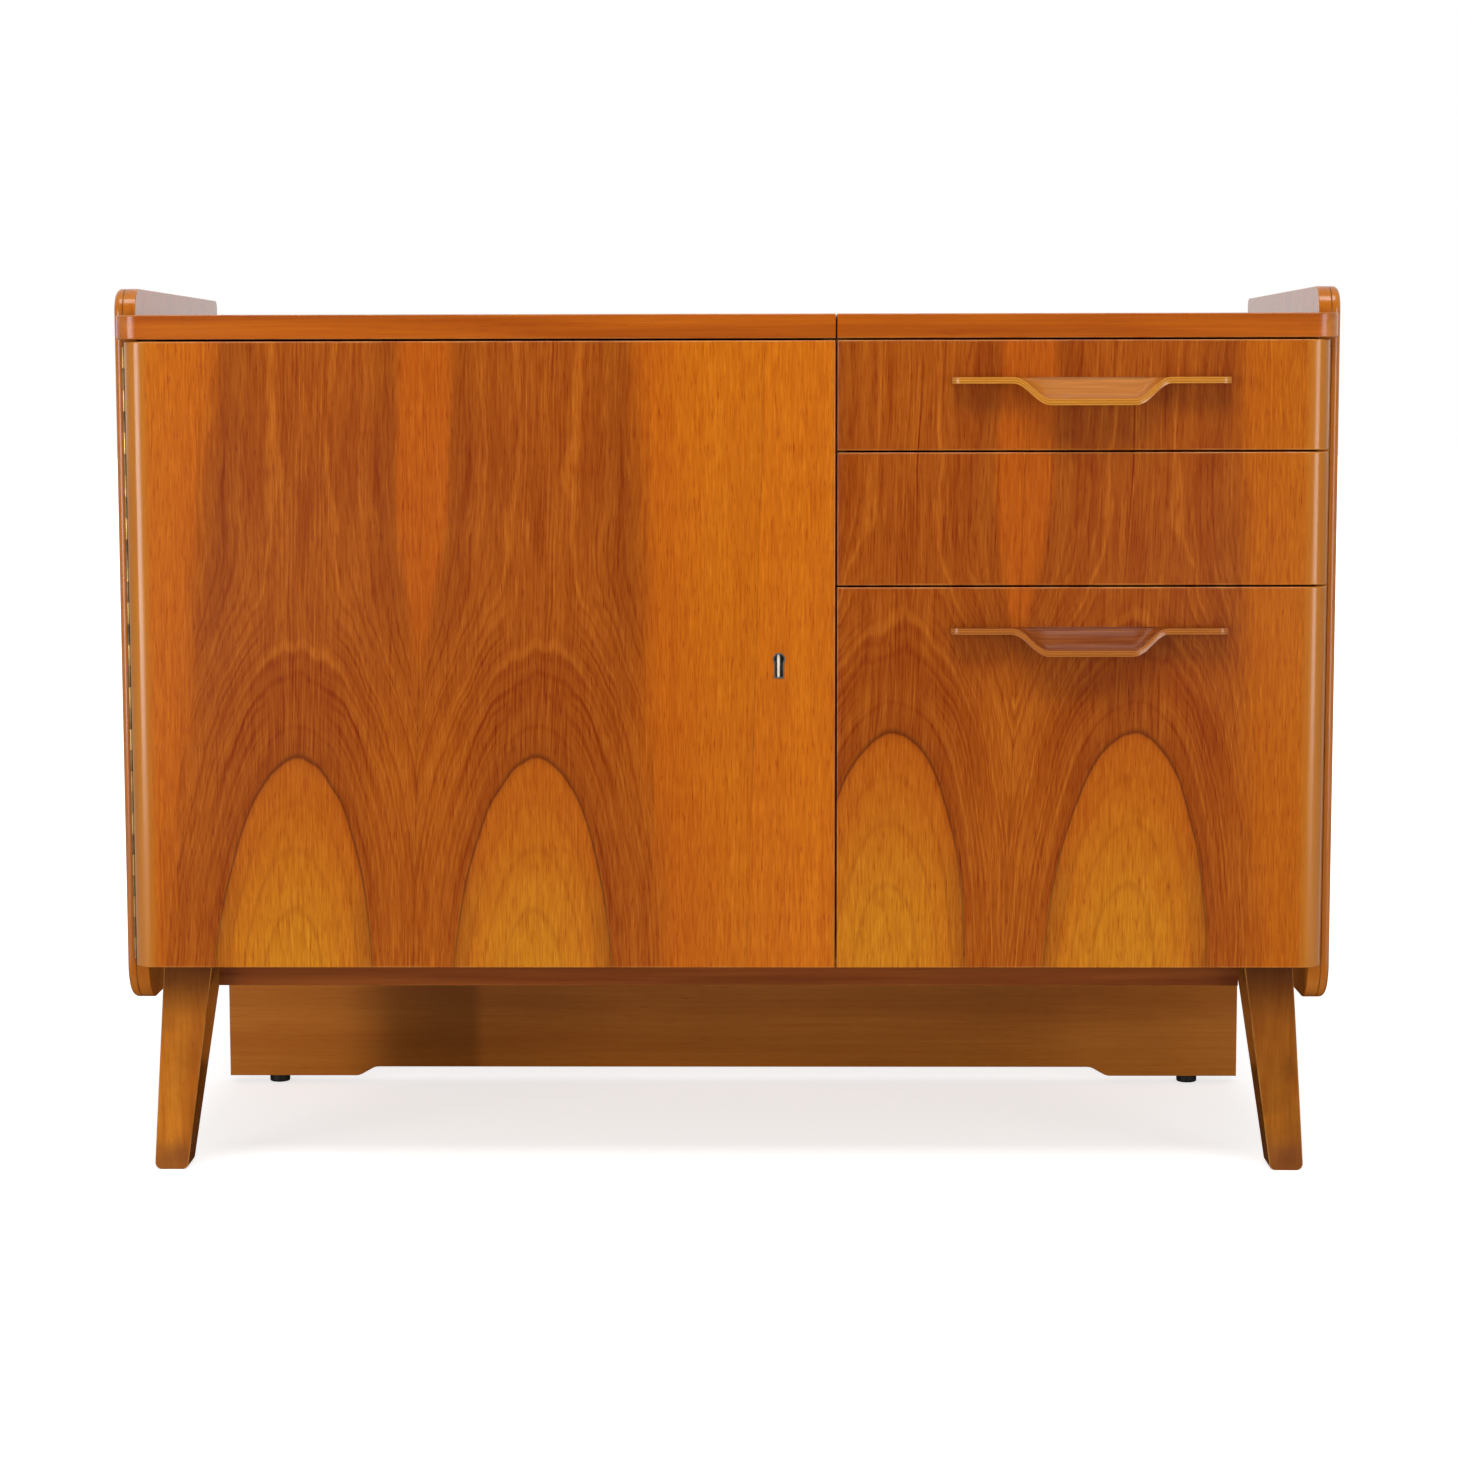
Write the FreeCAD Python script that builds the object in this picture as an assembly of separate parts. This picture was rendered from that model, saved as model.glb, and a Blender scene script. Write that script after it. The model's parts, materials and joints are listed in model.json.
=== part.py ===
import FreeCAD, Part
import os
from math import cos, hypot, pi, sin

# A low walnut drinks cabinet: a hinged door under a lift-up lid on the left, three drawers on the right.
# Millimetres, +Z up, +X to the right as seen from the front, and the front faces -Y.
# The origin is on the floor under the middle of the whole cabinet, its handles included.

Vec = FreeCAD.Vector
X_AXIS, Y_AXIS, Z_AXIS = Vec(1, 0, 0), Vec(0, 1, 0), Vec(0, 0, 1)

# Whole cabinet
width = 1054.0
height = 776.5
body_depth = 443.0              # from the fronts' face to the rear edge of the sides
split_x = 94.5                  # where the door meets the drawers, and the lid the fixed top

# Sides, each of two plies glued face to face
outer_ply = 8.0
inner_ply = 11.0
side_foot_z = 153.5
side_top_radius = 20.0
side_bottom_radius = 34.0
side_rear_radius = 8.0
side_edge_round = 5.0
ply_line_round = 0.8            # eases both plies where they meet, so the joint shows as a fine groove

# Carcass boards
board = 18.0
front_foot_z = 189.5            # lower edge of the fronts and underside of the bottom board
back_thickness = 4.0
back_inset = 3.0
rear_rabbet = 6.0

# Lid and fixed top
upstand = 23.5                  # the sides stand this much above the tops
top_thickness = 20.8
top_corner_radius = 19.0
top_end_inset = 4.0             # tops' front corners, from the sides' outer faces
top_edge_round = 1.2
top_gap = 1.5
lid_side_clearance = 1.0
rear_rail_width = 32.0
cleat_size = 12.0
cleat_end_gap = 20.0

# Door and drawer fronts, which lap over the carcass
front_thickness = 22.0
front_reveal = 11.0             # strip of the side's edge left in sight beside the fronts
front_edge_radius = 16.0
front_arris = 1.0
front_gap = 1.6
door_top_gap = 1.8
deep_front_share = 0.6144       # of the three drawer fronts' joint height
middle_front_share = 0.2112

# Piano hinge, the same strip on the door and on the lid
leaf_thickness = 1.2
leaf_clearance = 1.6            # between the two closed leaves
leaf_width = 11.5
barrel_radius = 1.7
barrel_clearance = 0.3
pin_radius = 0.8
pin_clearance = 0.05
knuckle_length = 18.0
knuckle_gap = 0.4
hinge_standoff = 2.6            # barrel axis outside the door's edge
lid_barrel_rise = 1.0           # barrel axis above the top
hinge_end_inset = 4.0
hinge_screw_pitch = 70.0
hinge_screw_length = 10.0
hinge_screw_radius = 1.1
hinge_head_radius = 2.2
hinge_head_height = 0.5
leaf_a_screw_share = 0.3        # where the screws stand within their pitch on each leaf
leaf_b_screw_share = 0.7

# Shelf and its pins
shelf_height_share = 0.609      # of the bay's height
shelf_thickness = 16.0
shelf_front_gap = 22.0
shelf_end_gap = 0.5
pin_hole_depth = 8.0
shelf_pin_reach = 9.0
shelf_pin_radius = 3.0
shelf_pin_shares = (0.15, 0.85)

# Legs, rail and plinth
leg_top_width = 43.0
leg_top_depth = 62.0
leg_foot_width = 29.5
leg_foot_depth = 34.0
leg_top_inset = 12.8            # from the side's inner face to the leg's outer face
leg_splay = 14.5                # how far the foot's outer face stands out past the top's
leg_setback = 29.0              # leg's front face behind the fronts' face, at the top
leg_rake = 13.0                 # how far the foot's front face stands behind the top's
leg_foot_radius = 6.0
leg_arris = 1.5
leg_bolt_shares = (0.28, 0.72)
leg_bolt_radius = 3.0
leg_bolt_grip = 35.0
leg_bolt_head_radius = 7.0
leg_bolt_head_height = 2.5
rail_height = 26.4
rail_thickness = 20.0
rail_setback = 57.0
rail_end_gap = 0.5
plinth_thickness = 22.0
plinth_rear_inset = 16.0        # from the sides' rear edge
plinth_end_inset = 25.0         # from the sides' outer faces
plinth_foot_length = 129.0
plinth_slope_run = 16.0
plinth_relief = 9.0
plinth_relief_radius = 14.0
base_arris = 1.2                # on the lower edges of rail and plinth
glide_radius = 10.0
glide_height = 7.0
glide_edge_round = 1.5
glide_inset = 48.0              # from the plinth's end
block_size = 22.0
block_length = 60.0
block_shares = (-0.7, 0.0, 0.7)  # of half the plinth's length

# Drawers and their runners
drawer_side_gap = 1.5
drawer_board = 12.0
drawer_rear_gap = 25.0
drawer_bottom = 4.0
drawer_bottom_rise = 10.0
drawer_bottom_entry = 5.0
drawer_back_drop = 6.0
drawer_head_drop = 10.0         # drawer sides below the upper edge of their front
deep_head_drop = 30.0
drawer_foot_rise = 10.0         # drawer sides above the lower edge of their front
deep_foot_rise = 4.5            # deep drawer's sides above the bottom board
runner_height = 12.0
runner_entry = 5.5
runner_front_gap = 14.0
runner_level_share = 0.5        # of the drawer side's height
run_clearance = 0.6

# Handles: a flat strip whose middle is scooped down towards its front edge
handle_length = 237.0
handle_thickness = 5.5
handle_reach = 26.0
handle_wing_reach = 17.0
handle_dip = 18.3
handle_trough = 71.0            # length of the scoop's level middle
handle_bend_run = 31.5
handle_end_radius = 8.0
handle_bend_points = 9
handle_section_shares = (0.0, 0.35, 0.7, 1.1)
top_handle_drop = 34.5          # from the front's upper edge to the strip's middle
deep_handle_drop = 37.0
handle_screw_spread = 92.0
handle_screw_grip = 10.0
handle_screw_radius = 1.5
handle_head_radius = 4.0
handle_head_height = 1.5

# Lock, keyhole bush and strike
keyhole_inset = 49.0            # from the divide to the keyhole
keyhole_height_share = 0.4953   # of the door opening's height, up to the bush's round head
bush_head_radius = 5.3
bush_tail_width = 8.5
bush_drop = 16.6                # from the head's centre to the tail's end
bush_wall = 1.0
bush_depth = 9.0
bush_proud = 0.4
key_post_radius = 1.7
key_post_reach = 18.0
lock_width = 52.0
lock_below = 27.0               # case below and above the head's centre
lock_above = 29.0
lock_depth = 15.0
lock_wall = 1.2
lock_flange = 9.0
lock_gap = 2.7                  # from the case to the partition
lock_screw_inset = 6.0
lock_screw_length = 12.0
bolt_height = 10.0
bolt_thickness = 5.0
bolt_rise = 16.0                # bolt's middle above the head's centre
bolt_setback = 7.5              # bolt's front face behind the door's back
bolt_tail_gap = 10.0
bolt_throw = 7.0
bolt_clearance = 0.4
mortise_clearance = 1.0
strike_thickness = 1.2
strike_width = 18.0
strike_height = 44.0
strike_screw_inset = 6.0
strike_screw_length = 8.0

# Screws of the back panel
back_screw_radius = 1.2
back_screw_length = 18.0
back_head_radius = 2.6
back_head_height = 1.2
back_side_shares = (0.06, 0.35, 0.65, 0.94)
back_partition_shares = (0.35, 0.65)
back_foot_shares = (-0.8, -0.4, 0.0, 0.4, 0.8)

fit_clearance = 0.1             # round a fastener or bush in its hole
overrun = 2.0                   # how far a cut runs past the face it leaves by
whole_edge_share = 0.95         # most of an edge that one rounded corner may take
half_edge_share = 0.48          # most of an edge that each of two rounded corners may take
plane_tolerance = 0.001

# Planes that the pieces share
half_width = width / 2
ply_x = half_width - outer_ply
inner_x = ply_x - inner_ply
front_edge_x = half_width - front_reveal
top_nose_x = half_width - top_end_inset
front_y = (handle_reach - body_depth) / 2
front_back_y = front_y + front_thickness
hinge_gap = 2 * leaf_thickness + leaf_clearance
carcass_y = front_back_y + hinge_gap
rear_y = front_y + body_depth
back_rear_y = rear_y - back_inset
back_front_y = back_rear_y - back_thickness
floor_top_z = front_foot_z + board
top_z = height - upstand
top_under_z = top_z - top_thickness
shelf_z = floor_top_z + shelf_height_share * (top_under_z - floor_top_z)
partition_left = split_x - board / 2
partition_right = split_x + board / 2
rear_rail_y = back_rear_y - rear_rail_width
lid_rear_y = rear_rail_y - hinge_gap
door_axis_x = -front_edge_x - hinge_standoff
door_axis_y = front_back_y + hinge_gap / 2
lid_axis_y = lid_rear_y + hinge_gap / 2
lid_axis_z = top_z + lid_barrel_rise
drawer_rear_y = back_front_y - drawer_rear_gap
drawer_left = partition_right + drawer_side_gap
drawer_right = inner_x - drawer_side_gap
keyhole_x = split_x - keyhole_inset
keyhole_z = front_foot_z + keyhole_height_share * (top_under_z - front_foot_z)
lock_right = partition_left - lock_gap
lock_left = lock_right - lock_width
bolt_z = keyhole_z + bolt_rise
bolt_y = front_back_y + bolt_setback
handle_x = (split_x + half_width) / 2
plinth_half = half_width - plinth_end_inset
plinth_y = rear_y - plinth_rear_inset - plinth_thickness


def span(middle, size):
    return middle - size / 2, middle + size / 2


def box(x_range, y_range, z_range):
    low = Vec(x_range[0], y_range[0], z_range[0])
    return Part.makeBox(x_range[1] - low.x, y_range[1] - low.y, z_range[1] - low.z, low)


def rod(radius, start, end):
    return Part.makeCylinder(radius, (end - start).Length, start, end - start)


def group(solids):
    return Part.makeCompound(list(solids))


def rounded_face(corners, place):
    """Flat face through corners (u, v, radius), each rounded by an arc; place maps u, v to a point."""
    arcs = []
    for index, corner in enumerate(corners):
        arcs.append(corner_arc(corners[index - 1], corner, corners[(index + 1) % len(corners)]))
    edges = []
    for index, (start, middle, end) in enumerate(arcs):
        follower = arcs[(index + 1) % len(arcs)][0]
        if (end - start).Length > plane_tolerance:
            edges.append(Part.Arc(place(start), place(middle), place(end)).toShape())
        if (follower - end).Length > plane_tolerance:
            edges.append(Part.LineSegment(place(end), place(follower)).toShape())
    return Part.Face(Part.Wire(edges))


def corner_arc(before, corner, after):
    """Start, middle and end of the arc at a corner; all three are the corner itself where it is sharp."""
    here = Vec(corner[0], corner[1], 0)
    arms = []
    for other in (before, after):
        arm = Vec(other[0], other[1], 0) - here
        share = half_edge_share if other[2] else whole_edge_share
        arms.append((arm / arm.Length, arm.Length * share))
    bisector = arms[0][0] + arms[1][0]
    bisector = bisector / bisector.Length
    along = bisector.dot(arms[0][0])
    across = (arms[0][0] - bisector * along).Length
    tangent = min(corner[2] * along / across, arms[0][1], arms[1][1])
    radius = tangent * across / along
    middle = here + bisector * (radius / across - radius)
    return here + arms[0][0] * tangent, middle, here + arms[1][0] * tangent


def plan(z):
    return lambda point: Vec(point.x, point.y, z)


def side_view(x):
    return lambda point: Vec(x, point.x, point.y)


def front_view(y):
    return lambda point: Vec(point.x, y, point.y)


def edges_at(shape, axis, value):
    """Edges that lie wholly in the plane where the given axis has the given value."""
    def flat(edge):
        bound = edge.BoundBox
        low, high = getattr(bound, axis + "Min"), getattr(bound, axis + "Max")
        return abs(low - value) < plane_tolerance and abs(high - value) < plane_tolerance

    return [edge for edge in shape.Edges if flat(edge)]


def screw(seat, into, head, shank):
    """Round-headed screw on a seat, pointing along into; head and shank are (radius, length)."""
    body = rod(head[0], seat - into * head[1], seat)
    return body.fuse(rod(shank[0], seat, seat + into * shank[1])).removeSplitter()


def screw_hole(seat, into, shank):
    return rod(shank[0] + fit_clearance, seat - into * overrun, seat + into * (shank[1] + fit_clearance))


def hinge_leaf(side, knuckles, pitch, length):
    """Leaf of a hinge whose barrel runs along local z; the leaf lies on the given side in y, towards +x."""
    thickness = sorted((side * hinge_gap / 2, side * (hinge_gap / 2 - leaf_thickness)))
    leaf_start = barrel_radius + barrel_clearance
    pieces = []
    for index in knuckles:
        z_range = (index * pitch + knuckle_gap / 2, (index + 1) * pitch - knuckle_gap / 2)
        pieces.append(rod(barrel_radius, Z_AXIS * z_range[0], Z_AXIS * z_range[1]))
        pieces.append(box((0, leaf_start + barrel_clearance), thickness, z_range))
    leaf = box((leaf_start, leaf_width), thickness, (0, length)).multiFuse(pieces).removeSplitter()
    return leaf.cut(rod(pin_radius + pin_clearance, Z_AXIS * -overrun, Z_AXIS * (length + overrun)))


def hinge_screw_seats(side, share, length):
    count = max(1, int(length // hinge_screw_pitch))
    x = (barrel_radius + barrel_clearance + leaf_width) / 2
    y = side * (hinge_gap / 2 - leaf_thickness)
    return [Vec(x, y, (index + share) * length / count) for index in range(count)]


def piano_hinge(length, placement):
    """Both leaves, the pin, the screws of each leaf and the holes that those screws need."""
    count = max(2, int(length // knuckle_length))
    pitch = length / count
    head = (hinge_head_radius, hinge_head_height)
    shank = (hinge_screw_radius, hinge_screw_length)
    made = {"pin": rod(pin_radius, Vec(), Z_AXIS * length)}
    for name, side, share in (("a", -1, leaf_a_screw_share), ("b", 1, leaf_b_screw_share)):
        seats = hinge_screw_seats(side, share, length)
        into = Y_AXIS * side
        holes = group(screw_hole(seat, into, shank) for seat in seats)
        knuckles = range(0 if side < 0 else 1, count, 2)
        made["leaf_" + name] = hinge_leaf(side, knuckles, pitch, length).cut(holes)
        made["screws_" + name] = group(screw(seat, into, head, shank) for seat in seats)
        made["holes_" + name] = holes
    matrix = placement.toMatrix()
    return {name: shape.transformed(matrix, True) for name, shape in made.items()}


def door_hinge():
    base_z = front_foot_z + hinge_end_inset
    length = top_under_z - door_top_gap - hinge_end_inset - base_z
    return piano_hinge(length, FreeCAD.Placement(Vec(door_axis_x, door_axis_y, base_z), FreeCAD.Rotation()))


def lid_hinge():
    base_x = lid_side_clearance + hinge_end_inset - inner_x
    length = split_x - top_gap / 2 - hinge_end_inset - base_x
    turned = FreeCAD.Rotation(-Z_AXIS, Y_AXIS, X_AXIS, "ZXY")
    return piano_hinge(length, FreeCAD.Placement(Vec(base_x, lid_axis_y, lid_axis_z), turned))


def side_face(x):
    corners = [
        (carcass_y, side_foot_z, side_bottom_radius),
        (rear_y, side_foot_z, side_rear_radius),
        (rear_y, height, side_rear_radius),
        (carcass_y, height, side_top_radius),
    ]
    return rounded_face(corners, side_view(x))


def right_outer_ply():
    ply = side_face(ply_x).extrude(X_AXIS * outer_ply)
    room = min(outer_ply - 2 * ply_line_round, side_rear_radius * whole_edge_share)
    ply = ply.makeFillet(min(side_edge_round, room), edges_at(ply, "X", half_width))
    return ply.makeFillet(ply_line_round, edges_at(ply, "X", ply_x))


def right_inner_ply():
    ply = side_face(inner_x).extrude(X_AXIS * inner_ply)
    ply = ply.makeFillet(ply_line_round, edges_at(ply, "X", inner_x) + edges_at(ply, "X", ply_x))
    rabbet_x = (inner_x - overrun, inner_x + rear_rabbet)
    return ply.cut(box(rabbet_x, (back_front_y, rear_y + overrun), (front_foot_z, top_under_z)))


def mirrored(shape):
    return shape.mirror(Vec(), X_AXIS)


def top_board(corners):
    """Board between the two top planes, with the arrises of its front edge and nose eased."""
    face = rounded_face(corners, plan(top_under_z))
    slab = face.extrude(Z_AXIS * top_thickness)

    def in_front(edge):
        bound = edge.BoundBox
        return bound.YMax < carcass_y + plane_tolerance and bound.YMin < front_back_y - plane_tolerance

    eased = [edge for z in (top_under_z, top_z) for edge in edges_at(slab, "Z", z) if in_front(edge)]
    return slab.makeFillet(top_edge_round, eased)


def fixed_top():
    left = split_x + top_gap / 2
    return top_board([
        (left, front_y, 0),
        (top_nose_x, front_y, top_corner_radius),
        (top_nose_x, carcass_y, 0),
        (inner_x, carcass_y, 0),
        (inner_x, back_rear_y, 0),
        (left, back_rear_y, 0),
    ])


def lid_board():
    right = split_x - top_gap / 2
    left = lid_side_clearance - inner_x
    return top_board([
        (right, front_y, 0),
        (right, lid_rear_y, 0),
        (left, lid_rear_y, 0),
        (left, front_back_y, 0),
        (-top_nose_x, front_back_y, 0),
        (-top_nose_x, front_y, top_corner_radius),
    ])


def front_panel(outer_x, inner_edge_x, z_range):
    """Front whose outer upright edge is rounded and whose other front arrises are eased."""
    corners = [
        (inner_edge_x, front_y, 0),
        (outer_x, front_y, front_edge_radius),
        (outer_x, front_back_y, 0),
        (inner_edge_x, front_back_y, 0),
    ]
    panel = rounded_face(corners, plan(z_range[0])).extrude(Z_AXIS * (z_range[1] - z_range[0]))
    ends = edges_at(panel, "Z", z_range[0]) + edges_at(panel, "Z", z_range[1])
    eased = [edge for edge in ends if edge.BoundBox.YMin < front_back_y - plane_tolerance]
    eased += edges_at(group(edges_at(panel, "X", inner_edge_x)), "Y", front_y)
    return panel.makeFillet(front_arris, eased)


def back_screw_seats():
    """Seats on the rear of the back panel: up both sides and the partition, and along the bottom."""
    panel_height = top_under_z - front_foot_z
    side_x = inner_x + rear_rabbet / 2
    seats = []
    columns = [(-side_x, back_side_shares), (side_x, back_side_shares), (split_x, back_partition_shares)]
    for x, shares in columns:
        seats += [Vec(x, back_rear_y, front_foot_z + share * panel_height) for share in shares]
    seats += [Vec(share * inner_x, back_rear_y, front_foot_z + board / 2) for share in back_foot_shares]
    return seats


def back_screws():
    head = (back_head_radius, back_head_height)
    shank = (back_screw_radius, back_screw_length)
    return group(screw(seat, -Y_AXIS, head, shank) for seat in back_screw_seats())


def back_screw_holes():
    shank = (back_screw_radius, back_screw_length)
    return group(screw_hole(seat, -Y_AXIS, shank) for seat in back_screw_seats())


def shelf_y_range():
    return carcass_y + shelf_front_gap, back_front_y - shelf_end_gap


def shelf_pins(extra):
    """Pins under the shelf, in the left side and in the partition; extra widens them into their holes."""
    low, high = shelf_y_range()
    pins = []
    for share in shelf_pin_shares:
        seat = Vec(0, low + share * (high - low), shelf_z - shelf_pin_radius)
        for wall_x, inward in ((-inner_x, 1), (partition_left, -1)):
            start = seat + X_AXIS * (wall_x - inward * (pin_hole_depth + extra))
            end = seat + X_AXIS * (wall_x + inward * shelf_pin_reach)
            pins.append(rod(shelf_pin_radius + extra, start, end))
    return group(pins)


def right_leg():
    """Leg that tapers down to its foot and stands outward, with a soft foot and eased front and rear."""
    def outline(z, outer_x, leg_width, leg_front_y, depth):
        x_range = (outer_x - leg_width, outer_x)
        y_range = (leg_front_y, leg_front_y + depth)
        around = [(0, 0), (1, 0), (1, 1), (0, 1), (0, 0)]
        return Part.makePolygon([Vec(x_range[i], y_range[j], z) for i, j in around])

    top_outer = inner_x - leg_top_inset
    top_front = front_y + leg_setback
    foot = outline(0, top_outer + leg_splay, leg_foot_width, top_front + leg_rake, leg_foot_depth)
    head = outline(front_foot_z, top_outer, leg_top_width, top_front, leg_top_depth)
    leg = Part.makeLoft([foot, head], True, True)
    foot_sides = [edge for edge in edges_at(leg, "Z", 0) if edge.BoundBox.XLength < plane_tolerance]
    leg = leg.makeFillet(leg_foot_radius, foot_sides)
    faces = sorted(leg.Faces, key=lambda face: face.CenterOfMass.y)
    eased = [edge for face in (faces[0], faces[-1]) for edge in face.Edges
             if edge.BoundBox.ZMin < front_foot_z - plane_tolerance]
    return leg.makeFillet(leg_arris, eased)


def leg_bolt_seats():
    x = inner_x - leg_top_inset - leg_top_width / 2
    front = front_y + leg_setback
    depths = [front + share * leg_top_depth for share in leg_bolt_shares]
    return [Vec(side * x, y, floor_top_z) for side in (-1, 1) for y in depths]


def leg_bolt_shank():
    return leg_bolt_radius, board + leg_bolt_grip


def leg_bolts():
    head = (leg_bolt_head_radius, leg_bolt_head_height)
    return group(screw(seat, -Z_AXIS, head, leg_bolt_shank()) for seat in leg_bolt_seats())


def leg_bolt_holes():
    return group(screw_hole(seat, -Z_AXIS, leg_bolt_shank()) for seat in leg_bolt_seats())


def base_rail():
    end = inner_x - leg_top_inset - leg_top_width - rail_end_gap
    y = front_y + rail_setback
    low_z = front_foot_z - rail_height
    rail = box((-end, end), (y, y + rail_thickness), (low_z, front_foot_z))
    return rail.makeFillet(base_arris, edges_at(group(edges_at(rail, "Z", low_z)), "Y", y))


def rear_plinth():
    """Board on edge whose lower edge is raised between its two feet."""
    foot_end = plinth_half - plinth_foot_length
    relief_end = foot_end - plinth_slope_run
    relief_z = glide_height + plinth_relief
    corners = [
        (-plinth_half, glide_height, 0),
        (-foot_end, glide_height, plinth_relief_radius),
        (-relief_end, relief_z, plinth_relief_radius),
        (relief_end, relief_z, plinth_relief_radius),
        (foot_end, glide_height, plinth_relief_radius),
        (plinth_half, glide_height, 0),
        (plinth_half, front_foot_z, 0),
        (-plinth_half, front_foot_z, 0),
    ]
    plinth = rounded_face(corners, front_view(plinth_y)).extrude(Y_AXIS * plinth_thickness)
    front_edges = edges_at(plinth, "Y", plinth_y)
    lower = [edge for edge in front_edges if edge.BoundBox.ZMax < front_foot_z - plane_tolerance]
    return plinth.makeFillet(base_arris, lower)


def plinth_glide(side):
    place = Vec(side * (plinth_half - glide_inset), plinth_y + plinth_thickness / 2, 0)
    glide = rod(glide_radius, place, place + Z_AXIS * glide_height)
    return glide.makeFillet(glide_edge_round, edges_at(glide, "Z", 0))


def plinth_blocks():
    y_range = (plinth_y - block_size, plinth_y)
    z_range = (front_foot_z - block_size, front_foot_z)
    return group(box(span(share * plinth_half, block_length), y_range, z_range) for share in block_shares)


def drawer_rows():
    """Each drawer's front heights, the lower and upper edges of its box, and where its handle sits."""
    fronts_height = top_under_z - front_foot_z - 3 * front_gap
    deep = (front_foot_z, front_foot_z + deep_front_share * fronts_height)
    middle_z = deep[1] + front_gap
    middle = (middle_z, middle_z + middle_front_share * fronts_height)
    top = (middle[1] + front_gap, top_under_z - front_gap)
    return {
        "top": (top, (top[0] + drawer_foot_rise, top[1] - drawer_head_drop), top[1] - top_handle_drop),
        "middle": (middle, (middle[0] + drawer_foot_rise, middle[1] - drawer_head_drop), None),
        "deep": (deep, (floor_top_z + deep_foot_rise, deep[1] - deep_head_drop), deep[1] - deep_handle_drop),
    }


def runner_level(box_z):
    return box_z[0] + runner_level_share * (box_z[1] - box_z[0])


def runner_y_range():
    return carcass_y + runner_front_gap, drawer_rear_y


def runners(x_range):
    return group(box(x_range, runner_y_range(), span(runner_level(box_z), runner_height))
                 for front_z, box_z, handle_z in drawer_rows().values())


def drawer_bottom_board(box_z):
    lip = drawer_board - drawer_bottom_entry
    low_z = box_z[0] + drawer_bottom_rise
    x_range = (drawer_left + lip, drawer_right - lip)
    return box(x_range, (front_back_y - drawer_bottom_entry, drawer_rear_y), (low_z, low_z + drawer_bottom))


def drawer_side(box_z, outer_x, inward):
    """Side board with a groove outside for its runner, and room for the bottom cut by the caller."""
    x_range = sorted((outer_x, outer_x + inward * drawer_board))
    side = box(x_range, (front_back_y, drawer_rear_y), box_z)
    groove_x = sorted((outer_x - inward * overrun, outer_x + inward * (runner_entry + run_clearance)))
    groove_y = (runner_y_range()[0] - run_clearance, drawer_rear_y + overrun)
    level = runner_level(box_z)
    groove_z = (level - runner_height / 2 - run_clearance, level + runner_height / 2)
    return side.cut(box(groove_x, groove_y, groove_z))


def drawer_back(box_z):
    low_z = box_z[0] + drawer_bottom_rise + drawer_bottom
    x_range = (drawer_left + drawer_board, drawer_right - drawer_board)
    return box(x_range, (drawer_rear_y - drawer_board, drawer_rear_y), (low_z, box_z[1] - drawer_back_drop))


def handle_ease(share):
    return (1 - cos(pi * share)) / 2


def handle_bend(side, dip, offset):
    """Points down one bend, from the flat end to the trough, offset square to the strip's middle line."""
    points = []
    for index in range(handle_bend_points):
        share = index / (handle_bend_points - 1)
        x = side * (handle_trough / 2 + handle_bend_run * (1 - share))
        slope = side * dip * pi / 2 * sin(pi * share) / handle_bend_run
        length = hypot(1, slope)
        points.append((x - offset * slope / length, offset / length - dip * handle_ease(share)))
    return points


def curve_through(points):
    level = X_AXIS * (points[-1].x - points[0].x)
    curve = Part.BSplineCurve()
    curve.interpolate(Points=points, InitialTangent=level, FinalTangent=level)
    return curve.toShape()


def chain(stretches):
    """Edges along stretches of points: two points are a line, more are a smooth curve."""
    edges = []
    for points in stretches:
        line = len(points) == 2
        edges.append(Part.LineSegment(*points).toShape() if line else curve_through(points))
    return edges


def strip_stretches(left_bend, right_bend, half_length, end_level):
    """Stretches from the left end to the right: flat, bend, trough, bend, flat."""
    right_bend = right_bend[::-1]
    left_end, right_end = (-half_length, end_level), (half_length, end_level)
    return [[left_end, left_bend[0]], left_bend, [left_bend[-1], right_bend[0]], right_bend,
            [right_bend[-1], right_end]]


def handle_section(share, z):
    """Closed outline of the strip at a share of its reach in front of the drawer."""
    dip = handle_dip * (1 - (1 - share) ** 2)
    y = front_y - handle_reach * share

    def lift(stretches):
        return [[Vec(handle_x + u, y, z + v) for u, v in points] for points in stretches]

    sides = []
    for offset in (handle_thickness / 2, -handle_thickness / 2):
        bends = [handle_bend(side, dip, offset) for side in (-1, 1)]
        sides.append(lift(strip_stretches(bends[0], bends[1], handle_length / 2, offset)))
    upper, lower = sides
    back = [points[::-1] for points in lower[::-1]]
    ends = [[[upper[-1][-1], back[0][0]]], [[back[-1][-1], upper[0][0]]]]
    return Part.Wire(chain(upper + ends[0] + back + ends[1]))


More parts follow.
